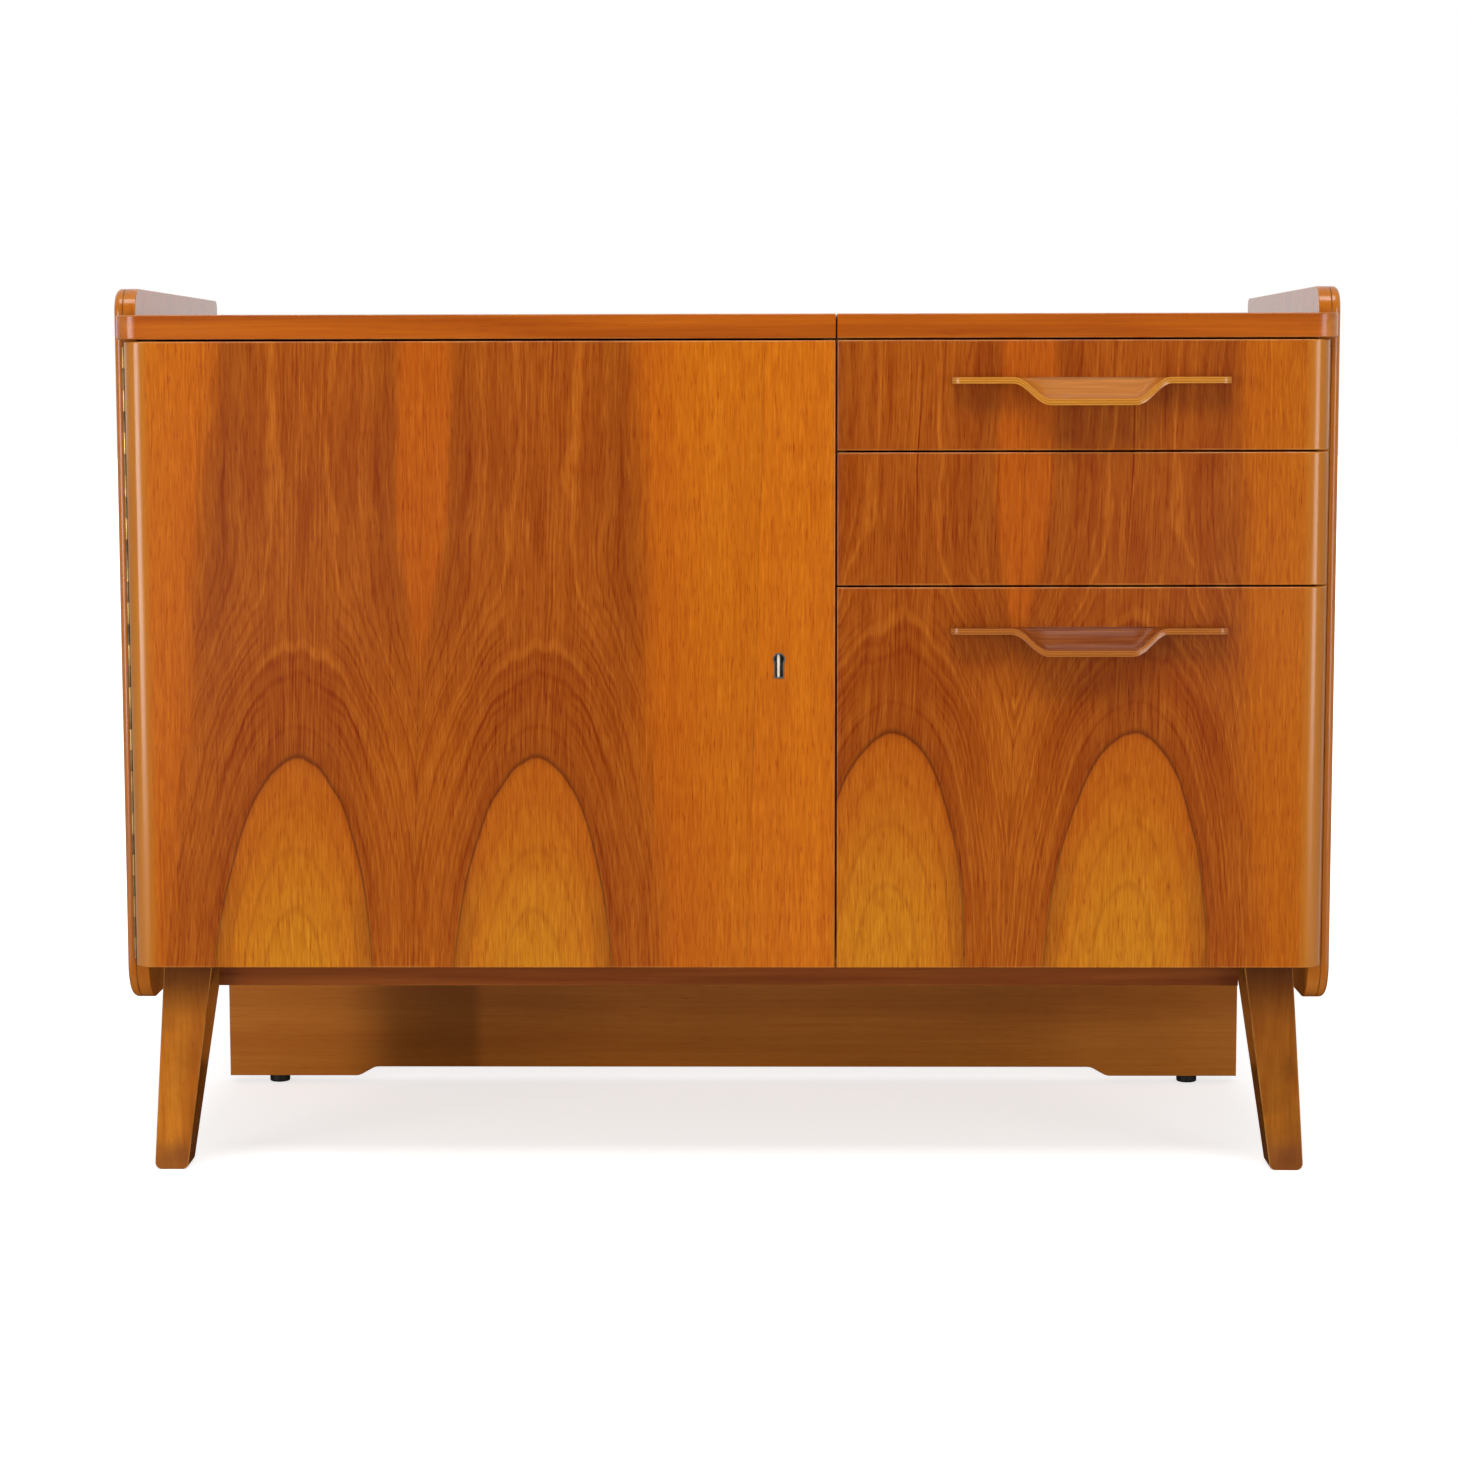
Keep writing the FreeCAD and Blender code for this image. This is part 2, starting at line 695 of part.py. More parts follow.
def handle_plan(z):
    """Outline seen from above: shallow ends with rounded corners, deeper over the trough."""
    half = handle_length / 2
    bends = []
    for side in (-1, 1):
        points = []
        for index in range(handle_bend_points):
            share = index / (handle_bend_points - 1)
            reach = handle_wing_reach + (handle_reach - handle_wing_reach) * handle_ease(share)
            points.append((side * (handle_trough / 2 + handle_bend_run * (1 - share)), -reach))
        bends.append(points)
    stretches = strip_stretches(bends[0], bends[1], half - handle_end_radius, -handle_wing_reach)
    edges = chain([[Vec(handle_x + u, front_y + v, z) for u, v in points] for points in stretches])
    bend_y = front_y - handle_wing_reach + handle_end_radius
    for side in (-1, 1):
        centre = Vec(handle_x + side * (half - handle_end_radius), bend_y, z)
        tip = centre + Vec(side * handle_end_radius, 0, 0)
        diagonal = Vec(side, -1, 0)
        crown = centre + diagonal * (handle_end_radius / diagonal.Length)
        edges.append(Part.Arc(centre - Y_AXIS * handle_end_radius, crown, tip).toShape())
        edges.append(Part.LineSegment(tip, Vec(tip.x, front_y, z)).toShape())
    rear_ends = [Vec(handle_x + side * half, front_y, z) for side in (-1, 1)]
    edges.append(Part.LineSegment(*rear_ends).toShape())
    return Part.Face(Part.Wire(Part.__sortEdges__(edges)))


def handle_strip(z):
    strip = Part.makeLoft([handle_section(share, z) for share in handle_section_shares], True, False)
    low_z = z - handle_dip - handle_thickness
    return strip.common(handle_plan(low_z).extrude(Z_AXIS * (z + handle_thickness - low_z)))


def handle_screw_seats(z):
    return [Vec(handle_x + side * handle_screw_spread, front_back_y, z) for side in (-1, 1)]


def handle_screw_shank():
    return handle_screw_radius, front_thickness + handle_screw_grip


def handle_screws(z):
    head = (handle_head_radius, handle_head_height)
    return group(screw(seat, -Y_AXIS, head, handle_screw_shank()) for seat in handle_screw_seats(z))


def handle_screw_holes(z):
    return group(screw_hole(seat, -Y_AXIS, handle_screw_shank()) for seat in handle_screw_seats(z))


def drawer_pieces(name, front_z, box_z, handle_z):
    bottom = drawer_bottom_board(box_z)
    front = front_panel(front_edge_x, split_x + front_gap / 2, front_z).cut(bottom)
    pieces = {
        "left_side": drawer_side(box_z, drawer_left, 1).cut(bottom),
        "right_side": drawer_side(box_z, drawer_right, -1).cut(bottom),
        "back": drawer_back(box_z),
        "bottom": bottom,
    }
    if handle_z is not None:
        holes = handle_screw_holes(handle_z)
        front = front.cut(holes)
        pieces["handle"] = handle_strip(handle_z).cut(holes)
        pieces["handle_screws"] = handle_screws(handle_z)
    pieces["front"] = front
    return {name + "_drawer_" + piece: shape for piece, shape in pieces.items()}


def keyhole(inset, y_range):
    """Round head over a straight tail, in from the bush's outline by inset, through a range of depth."""
    start, end = (Vec(keyhole_x, y, keyhole_z) for y in y_range)
    tail_x = span(keyhole_x, bush_tail_width - 2 * inset)
    tail = box(tail_x, y_range, (keyhole_z - bush_drop + inset, keyhole_z))
    return rod(bush_head_radius - inset, start, end).fuse(tail).removeSplitter()


def keyhole_bush():
    face_y = front_y - bush_proud
    outside = keyhole(0, (face_y, face_y + bush_depth))
    return outside.cut(keyhole(bush_wall, (face_y - overrun, face_y + bush_depth + overrun)))


def key_post():
    rear = Vec(keyhole_x, front_back_y + lock_depth - lock_wall, keyhole_z)
    return rod(key_post_radius, rear, Vec(keyhole_x, front_back_y - key_post_reach, keyhole_z))


def bolt_space(x_range, clearance):
    y_range = (bolt_y - clearance, bolt_y + bolt_thickness + clearance)
    return box(x_range, y_range, span(bolt_z, bolt_height + 2 * clearance))


def lock_bolt():
    return bolt_space((lock_left + lock_wall + bolt_tail_gap, lock_right), 0)


def lock_screw_seats():
    rise = lock_flange / 2
    heights = (keyhole_z - lock_below - rise, keyhole_z + lock_above + rise)
    columns = (lock_left + lock_screw_inset, lock_right - lock_screw_inset)
    return [Vec(x, front_back_y + lock_wall, z) for x in columns for z in heights]


def small_screws(seats, into, length):
    head = (hinge_head_radius, hinge_head_height)
    return group(screw(seat, into, head, (hinge_screw_radius, length)) for seat in seats)


def small_screw_holes(seats, into, length):
    return group(screw_hole(seat, into, (hinge_screw_radius, length)) for seat in seats)


def lock_case():
    """Hollow case on a flange, open for the bolt on its right and for the key in front."""
    x_range = (lock_left, lock_right)
    y_range = (front_back_y, front_back_y + lock_depth)
    z_range = (keyhole_z - lock_below, keyhole_z + lock_above)
    flange_z = (z_range[0] - lock_flange, z_range[1] + lock_flange)
    case = box(x_range, y_range, z_range)
    case = case.fuse(box(x_range, (y_range[0], y_range[0] + lock_wall), flange_z)).removeSplitter()
    inside = [(low + lock_wall, high - lock_wall) for low, high in (x_range, y_range, z_range)]
    case = case.cut(box(*inside))
    case = case.cut(bolt_space((lock_right - lock_wall, lock_right + overrun), bolt_clearance))
    return case.cut(keyhole(bush_wall, (front_back_y - overrun, front_back_y + lock_wall)))


def strike_screw_seats():
    rise = strike_height / 2 - strike_screw_inset
    y = carcass_y + strike_width / 2
    return [Vec(partition_left - strike_thickness, y, bolt_z + side * rise) for side in (-1, 1)]


def strike_plate():
    x_range = (partition_left - strike_thickness, partition_left)
    return box(x_range, (carcass_y, carcass_y + strike_width), span(bolt_z, strike_height))


def bolt_mortise():
    x_range = (partition_left - strike_thickness - overrun, lock_right + bolt_throw + mortise_clearance)
    return bolt_space(x_range, mortise_clearance)


def side_pieces(holes):
    outer, inner = right_outer_ply(), right_inner_ply()
    return {
        "left_side_outer_ply": mirrored(outer),
        "left_side_inner_ply": mirrored(inner).cut(holes),
        "right_side_outer_ply": outer,
        "right_side_inner_ply": inner.cut(holes),
    }


def carcass_pieces(holes, strike_holes):
    depth = (carcass_y, back_front_y)
    bottom = box((-inner_x, inner_x), depth, (front_foot_z, floor_top_z))
    partition = box((partition_left, partition_right), depth, (floor_top_z, top_under_z))
    back_x = inner_x + rear_rabbet
    back = box((-back_x, back_x), (back_front_y, back_rear_y), (front_foot_z, top_under_z))
    shelf_x = (shelf_end_gap - inner_x, partition_left - shelf_end_gap)
    cleat_y = (carcass_y + cleat_end_gap, lid_rear_y - cleat_end_gap)
    return {
        "bottom_board": bottom.cut(leg_bolt_holes()).cut(holes),
        "partition": partition.cut(holes).cut(bolt_mortise()).cut(strike_holes),
        "back_panel": back.cut(holes),
        "back_panel_screws": back_screws(),
        "fixed_top": fixed_top(),
        "lid_cleat": box((-inner_x, cleat_size - inner_x), cleat_y, (top_under_z - cleat_size, top_under_z)),
        "shelf": box(shelf_x, shelf_y_range(), (shelf_z, shelf_z + shelf_thickness)),
        "shelf_pins": shelf_pins(0),
    }


def base_pieces():
    leg = right_leg()
    holes = leg_bolt_holes()
    return {
        "left_leg": mirrored(leg).cut(holes),
        "right_leg": leg.cut(holes),
        "leg_bolts": leg_bolts(),
        "base_rail": base_rail(),
        "rear_plinth": rear_plinth(),
        "plinth_blocks": plinth_blocks(),
        "plinth_glides": group(plinth_glide(side) for side in (-1, 1)),
    }


def door_pieces(hinge):
    lock_seats = lock_screw_seats()
    lock_holes = small_screw_holes(lock_seats, -Y_AXIS, lock_screw_length)
    panel_z = (front_foot_z, top_under_z - door_top_gap)
    panel = front_panel(-front_edge_x, split_x - front_gap / 2, panel_z)
    panel = panel.cut(keyhole(-fit_clearance, (front_y - overrun, front_back_y + overrun)))
    return {
        "door_panel": panel.cut(hinge["holes_a"]).cut(lock_holes),
        "door_hinge_door_leaf": hinge["leaf_a"],
        "door_hinge_door_screws": hinge["screws_a"],
        "lock_case": lock_case().cut(lock_holes),
        "lock_screws": small_screws(lock_seats, -Y_AXIS, lock_screw_length),
        "lock_bolt": lock_bolt(),
        "key_post": key_post(),
        "keyhole_bush": keyhole_bush(),
    }


def lid_pieces(hinge):
    rail_x = (-inner_x, split_x - top_gap / 2)
    rail = box(rail_x, (rear_rail_y, back_rear_y), (top_under_z, top_z))
    return {
        "lid": lid_board().cut(hinge["holes_a"]),
        "lid_hinge_lid_leaf": hinge["leaf_a"],
        "lid_hinge_lid_screws": hinge["screws_a"],
        "rear_top_rail": rail.cut(hinge["holes_b"]),
        "lid_hinge_rail_leaf": hinge["leaf_b"],
        "lid_hinge_pin": hinge["pin"],
    }


def build():
    """Every piece of the cabinet by name."""
    door_strip, lid_strip = door_hinge(), lid_hinge()
    strike_seats = strike_screw_seats()
    strike_holes = small_screw_holes(strike_seats, X_AXIS, strike_screw_length)
    wall_holes = group([back_screw_holes(), shelf_pins(fit_clearance), door_strip["holes_b"]])
    pieces = {
        "strike_plate": strike_plate().cut(bolt_mortise()).cut(strike_holes),
        "strike_screws": small_screws(strike_seats, X_AXIS, strike_screw_length),
        "door_hinge_frame_leaf": door_strip["leaf_b"],
        "door_hinge_pin": door_strip["pin"],
        "frame_hinge_screws": group([door_strip["screws_b"], lid_strip["screws_b"]]),
        "left_drawer_runners": runners((partition_right, drawer_left + runner_entry)),
        "right_drawer_runners": runners((drawer_right - runner_entry, inner_x)),
    }
    pieces.update(side_pieces(wall_holes))
    pieces.update(carcass_pieces(wall_holes, strike_holes))
    pieces.update(base_pieces())
    pieces.update(door_pieces(door_strip))
    pieces.update(lid_pieces(lid_strip))
    for name, (front_z, box_z, handle_z) in drawer_rows().items():
        pieces.update(drawer_pieces(name, front_z, box_z, handle_z))
    return pieces


def main():
    os.makedirs("parts", exist_ok=True)
    for name, shape in build().items():
        shape.exportStep("parts/" + name + ".step")


if __name__ == "__main__":
    main()
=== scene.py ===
import json
from math import cos, pi, radians, sin, sqrt

import bmesh
import bpy
from mathutils import Matrix, Vector


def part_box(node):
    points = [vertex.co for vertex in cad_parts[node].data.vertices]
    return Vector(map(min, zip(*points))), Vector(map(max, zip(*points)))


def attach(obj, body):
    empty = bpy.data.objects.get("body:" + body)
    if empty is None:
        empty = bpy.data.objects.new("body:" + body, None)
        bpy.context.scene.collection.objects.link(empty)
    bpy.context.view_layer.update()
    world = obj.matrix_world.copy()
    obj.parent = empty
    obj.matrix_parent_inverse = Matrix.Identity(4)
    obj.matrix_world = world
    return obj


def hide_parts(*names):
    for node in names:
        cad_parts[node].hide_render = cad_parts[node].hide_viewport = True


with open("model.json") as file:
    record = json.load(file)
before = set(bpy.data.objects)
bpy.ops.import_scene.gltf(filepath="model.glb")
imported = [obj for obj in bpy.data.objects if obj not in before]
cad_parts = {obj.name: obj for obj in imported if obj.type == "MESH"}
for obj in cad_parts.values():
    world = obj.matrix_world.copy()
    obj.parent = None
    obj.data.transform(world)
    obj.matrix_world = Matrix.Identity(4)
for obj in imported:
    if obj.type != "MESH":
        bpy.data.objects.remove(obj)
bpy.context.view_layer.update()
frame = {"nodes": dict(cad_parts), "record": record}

# A low walnut drinks cabinet under glossy amber lacquer, in a plain pale studio.
# Lengths are millimetres in the cabinet's own frame; colours are written as they look, from 0 to 255.
# A pair named for a band, rings or heights says where an effect is nothing and where it is full.

nodes = frame["nodes"]

MM = 0.001


def linear(channel):
    """Light of a colour channel that is written as it looks."""
    share = channel / 255.0
    return share / 12.92 if share <= 0.04045 else ((share + 0.055) / 1.055) ** 2.4


def rgb(red, green, blue):
    return (linear(red), linear(green), linear(blue), 1.0)


# Book-matched veneer: where two leaves meet, how much that line leans, the arch's middle from there,
# the height of its dark line's peak and how light the plain wood beside it is
DOOR_FIGURE = dict(seam=-266.0, lean=0.031, middle=104.0, peak=374.0, plain=0.96, seed=3.0)
DRAWER_FIGURE = dict(seam=248.0, lean=0.036, middle=104.0, peak=396.0, plain=0.85, seed=11.0)
lean_level = 410.0              # height at which the seams are given
seam_band = (0.9, 0.1)          # dark line along a seam, by the distance from it
seam_depth = 0.2
door_joint_x = 24.0             # joint between the door's figured leaves and its plain one
door_joint_band = (1.0, 0.2)
door_joint_depth = 0.2
door_leaf_band = (-0.5, 0.5)
door_leaf_gain = 0.07           # how much lighter the leaf beyond the joint is

# Growth rings: cathedral arches that pass into upright lines
arch_radius = 70.0              # of the dark line at its peak
arch_slope = 0.31               # how fast the arches close upwards
arch_cap = 112.0                # above the crests the rings run upright
arch_cap_blend = 25.0
arch_sway = 2.4
arch_sway_size = (24.0, 70.0)
loose_rings = (68.0, 105.0)     # rings that stray more
stray_wide = 9.0
stray_wide_size = (34.0, 120.0)
stray_fine = 3.0
stray_fine_size = (9.0, 60.0)

# Colours by ring, from the heart of an arch to the brown wood round it
HEART_TONES = [
    (0.0, rgb(199, 121, 18)),
    (27.0, rgb(198, 120, 17)),
    (28.6, rgb(183, 107, 15)),
    (30.0, rgb(198, 119, 17)),
    (43.4, rgb(197, 116, 16)),
    (45.0, rgb(180, 101, 14)),
    (46.6, rgb(196, 114, 16)),
    (56.4, rgb(193, 108, 15)),
    (58.0, rgb(172, 91, 13)),
    (59.6, rgb(189, 103, 15)),
    (65.0, rgb(184, 96, 14)),
    (68.7, rgb(170, 83, 12)),
    (69.6, rgb(104, 44, 9)),
    (70.7, rgb(152, 72, 12)),
    (82.0, rgb(158, 75, 12)),
    (200.0, rgb(158, 75, 12)),
]
inside_rings = (71.5, 69.5)

# Marks in the brown wood: ring, half width and change of lightness
CREST_MARKS = [(90.0, 9.0, -0.14), (99.5, 1.9, 0.26), (97.0, 2.0, -0.16)]
UPPER_MARKS = [(115.0, 1.0, 0.36)]
FLANK_MARKS = [(92.0, 1.4, -0.14), (78.0, 1.2, -0.12)]
mark_core_share = 0.2           # of a mark's half width, at full strength
crest_band = (80.0, 20.0)       # by the distance from an arch's middle
crest_heights = (-70.0, 10.0)   # from the peak
upper_heights = (60.0, 130.0)

# Orange tops and greyish feet inside the arches, lighter wood low down beside them
orange_tone = rgb(177, 88, 13)
orange_share = 0.75
orange_rings = (68.5, 64.0)
orange_heights = (-190.0, -5.0)
grey_tone = rgb(150, 92, 18)
grey_share = 0.4
grey_rings = (50.0, 66.0)
grey_heights = (-80.0, -150.0)
lighter_tone = rgb(177, 90, 14)
lighter_share = 0.5
lighter_seam_band = (66.0, 14.0)
lighter_outer_band = (60.0, 90.0)
lighter_outer_share = 0.6
lighter_heights = (500.0, 380.0)

# Streaks of the grain: width, length and weight of each layer
PLAIN_STREAKS = [(7.0, 420.0, 0.26), (2.4, 180.0, 0.34)]
ARCH_STREAKS = [(9.0, 460.0, 0.4), (3.0, 240.0, 1.0), (1.4, 110.0, 1.4)]
UPRIGHT_STREAKS = [(12.0, 200.0, 0.4), (3.0, 150.0, 1.0), (1.4, 90.0, 1.4)]
WEDGE_STREAKS = [(3.0, 260.0, 0.4), (1.4, 120.0, 0.4)]
LIPPING_STREAKS = [(5.0, 300.0, 0.3), (1.6, 90.0, 0.25)]
FIBRE_STREAKS = [(1.9, 34.0, 0.6), (1.1, 17.0, 0.5)]
fibre_weight = 1.5
flank_band = (12.0, 55.0)       # from an arch's middle: upright streaks, then streaks along the rings
upright_sway = 5.0
upright_sway_size = (30.0, 90.0)
inside_grain_share = 0.15       # fainter inside an arch
vein_size = (2.4, 170.0)        # thin dark lines in the brown wood
vein_band = (0.1, 0.26)
vein_depth = 0.36
pore_size = (1.2, 15.0)
pore_band = (0.1, 0.24)
pore_depth = 0.34

# Edge between the brown figured wood and the plain wood beside it
figure_reach = 74.0             # brown wood beyond the arch's middle, at the top
figure_top_z = 720.0
figure_flare = 0.075            # how much wider it grows downwards
figure_edge_band = (-12.0, 14.0)
figure_sway = 11.0
figure_sway_size = (110.0, 260.0)
ragged_depth = 34.0
ragged_size = (5.0, 240.0)
rim_band = (-46.0, -16.0)       # darker rim just inside that edge
rim_heights = (380.0, 560.0)
rim_depth = 0.09

# Light wedge along the seam
wedge_half = 24.0               # half its width at the top
wedge_foot_z = 415.0
wedge_head_z = 610.0
wedge_start = 30.0              # height over which it sets in
wedge_band = (-5.0, 7.0)
wedge_ragged_share = 0.35
wedge_rim_band = (-30.0, -6.0)
wedge_tone = rgb(178, 85, 12)

# Plain wood beside the figure
plain_tones = (rgb(190, 98, 12), rgb(202, 109, 12))
plain_band_size = (55.0, 900.0)
plain_sway = 6.0
plain_sway_size = (150.0, 420.0)
plain_red = rgb(187, 90, 11)    # next to the figured wood
plain_red_share = 0.6
plain_red_band = (75.0, 5.0)

# Solid lipping on the fronts' rounded outer edge, with a pale line along its outermost edge that is
# partly wear and partly a painted grazing reflection, and worn arrises
lipping_width = 16.0
lipping_band = (lipping_width + 8.0, lipping_width - 2.0)
lipping_tone = rgb(187, 113, 30)
# Pale outermost line of the lipping: partly wear, partly a painted grazing reflection
lipping_sheen_and_wear = rgb(216, 164, 112)
lipping_sheen_and_wear_share = 0.7
lipping_sheen_and_wear_band = (2.6, 0.2)
arris_tone = rgb(206, 134, 56)
arris_share = 0.5
arris_band = (2.2, 0.4)
arris_patch_size = (30.0, 30.0)
arris_patch_band = (-0.25, 0.2)
cloud_size = (140.0, 140.0)
front_roughness = 0.2
front_cloud_gain = 0.05
front_pore_gain = 0.05

# Boards: how grain, pores and worn edges are spread
tone_band = (-0.2, 0.2)         # noise that spans a wood's two tones
board_sway = 8.0
board_sway_length = 240.0
board_sway_width = 160.0
band_stretch = 22.0             # length of a soft band by its width
streak_stretch = 50.0
board_pore_width = 1.0
board_pore_length = 18.0
board_pore_band = (0.08, 0.26)
board_pore_depth = 0.18
board_pore_gain = 0.4
board_tone_gain = 0.5
wear_patch_size = (22.0, 22.0, 22.0)
wear_patch_band = (-0.3, 0.15)
rounded_band = (0.01, 0.12)     # how far a face turns away from the axes on a rounded arris
grain_depth = 0.12
lacquer_relief = 0.12
side_relief = 0.02

# Glue line where the sides' two plies meet
ply_line_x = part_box("right_side_inner_ply")[1].x / MM
glue_band = (0.9, 0.3)
glue_depth = 0.5

# Wear of the legs, with painted shade on their inner faces and a painted shadow at their tops under the
# fronts
leg_blotch_size = (26.0, 26.0, 34.0)
leg_blotch_gain = 0.7
leg_right_band = (-50.0, 50.0)
leg_right_depth = 0.26          # the right leg is darker
# Painted shade on the legs' inner faces, chosen by which way a face turns
leg_inner_shade_tone = rgb(112, 58, 22)
leg_inner_shade_share = 0.5
leg_inner_shade_band = (0.3, 0.8)
# Painted shadow of the fronts over the legs' tops
leg_top_shadow_tone = rgb(82, 40, 12)
leg_top_shadow_share = 0.8
leg_top_shadow_heights = (135.0, 180.0)
leg_top_shadow_ragged = 30.0
leg_foot_tone = rgb(122, 66, 38)
leg_foot_share = 0.55
leg_foot_heights = (46.0, 8.0)
leg_foot_ragged = 50.0

# Stains along the front of the plinth, with a painted pool of light at its left end and a painted shadow
# of the left leg beside that
base_cloud_size = (150.0, 90.0)
base_cloud_seed = 5.0
base_cloud_gain = 0.4
# Painted pool of light at the plinth's left end
base_painted_light_band = (-330.0, -400.0)
base_painted_light_gain = 0.3
# Painted shadow of the left leg on the plinth
base_leg_shadow_left = (-400.0, -320.0)
base_leg_shadow_right = (-245.0, -262.0)
base_leg_shadow_depth = 0.34
base_front_band = (0.0, 0.5)

# Metals and plastic
metal_patch_size = (14.0, 14.0, 14.0)
metal_patch_band = (-0.15, 0.25)
metal_patch_gain = 0.16
scratch_size = (0.5, 0.5, 9.0)
scratch_gain = 0.08
scratch_relief = 0.05
scratch_depth = 0.05
speck_size = (0.7, 0.7, 0.7)
speck_relief = 0.2
speck_depth = 0.1
speck_shade_gain = 0.6
speck_roughness_gain = 0.2
plastic_roughness = 0.55

# Bent plywood handles
handle_length = 237.0
handle_thickness = 5.5
handle_reach = 26.0
handle_wing_reach = 17.0
handle_dip = 18.3
handle_trough = 71.0
handle_bend_run = 31.5
handle_end_radius = 8.0
handle_edge_round = 0.9
handle_plies = 5
handle_half = handle_length / 2
handle_bend_start = handle_trough / 2 + handle_bend_run
handle_rows = 10                # faces from the drawer to the strip's front edge
handle_end_steps = 8
handle_wing_steps = 7
handle_bend_steps = 14
handle_trough_steps = 8
handle_round_steps = 3
handle_glue_tone = rgb(116, 62, 24)
handle_glue_band = (0.02, 0.06)
handle_ply_band = (0.48, 0.52)
handle_face_band = (handle_plies / 2 - 0.35, handle_plies / 2 - 0.2)
handle_grain_size = (60.0, 3.0, 3.0)
handle_ply_size = (22.0, 1.0, 0.8)
handle_ply_gain = 0.4
handle_roughness = 0.24
handle_grain_gain = 0.08
sharp_angle = radians(50)       # edges that turn more than this are rounded

# Pin behind the keyhole's rim
keyhole_rim = 1.0
guard_radius = 1.25
guard_left = 0.5                # its middle left of the keyhole's
guard_behind = 2.5              # its middle behind the rim's face
guard_end_round = 0.7
guard_sides = 28
guard_round_steps = 4

# Camera, fitted to the photograph's edges
camera_place = (36.87, -2981.37, 690.20)
camera_yaw = -0.722
camera_pitch = 6.007
camera_roll = -0.113
camera_lens = 79.96
camera_sensor = 36.0
camera_far = 100.0              # metres

# Studio: each lamp's name, place, aim and size in metres and its power in watts
LAMPS = [
    ("left_softbox", (-2.2, -2.5, 0.6), (0.0, 0.0, 0.4), (1.2, 1.1), 28.0),
    ("right_softbox", (2.25, -2.45, 0.6), (0.0, 0.0, 0.4), (1.2, 1.1), 19.5),
    ("overhead", (0.0, -1.7, 3.0), (0.0, 0.0, 0.5), (2.4, 1.0), 55.0),
]
world_light = 0.3
mirror_dim = 0.02               # surroundings in reflections, behind the viewer
mirror_band = (-0.9, 0.9)
white = (1.0, 1.0, 1.0, 1.0)
floor_reach = 30.0              # metres
floor_tone = (0.82, 0.82, 0.82, 1.0)
floor_mirrored = (0.02, 0.02, 0.02, 1.0)
floor_mirrored_band = (1500.0, 900.0)
floor_lift = 0.68
floor_far_lift = 0.54
floor_lift_band = (700.0, 1800.0)
floor_roughness = 0.9

# Finishes, and how much red, green and blue change where lacquered wood darkens
LACQUER = {"Specular_IOR_Level": 0.45, "Coat_Weight": 0.15, "Coat_Roughness": 0.1}
SATIN = {"Specular_IOR_Level": 0.3}
STAIN_WEIGHTS = (0.62, 1.15, 1.9)


class Num:
    """A number in a graph; plain arithmetic on it adds the nodes."""

    def __init__(self, graph, socket):
        self.graph = graph
        self.socket = socket

    def __add__(self, other):
        return self.graph.math("ADD", self, other)

    def __sub__(self, other):
        return self.graph.math("SUBTRACT", self, other)

    def __rsub__(self, other):
        return self.graph.math("SUBTRACT", other, self)

    def __mul__(self, other):
        return self.graph.math("MULTIPLY", self, other)

    def __truediv__(self, other):
        return self.graph.math("DIVIDE", self, other)

    def __abs__(self):
        return self.graph.math("ABSOLUTE", self)

    __radd__ = __add__
    __rmul__ = __mul__


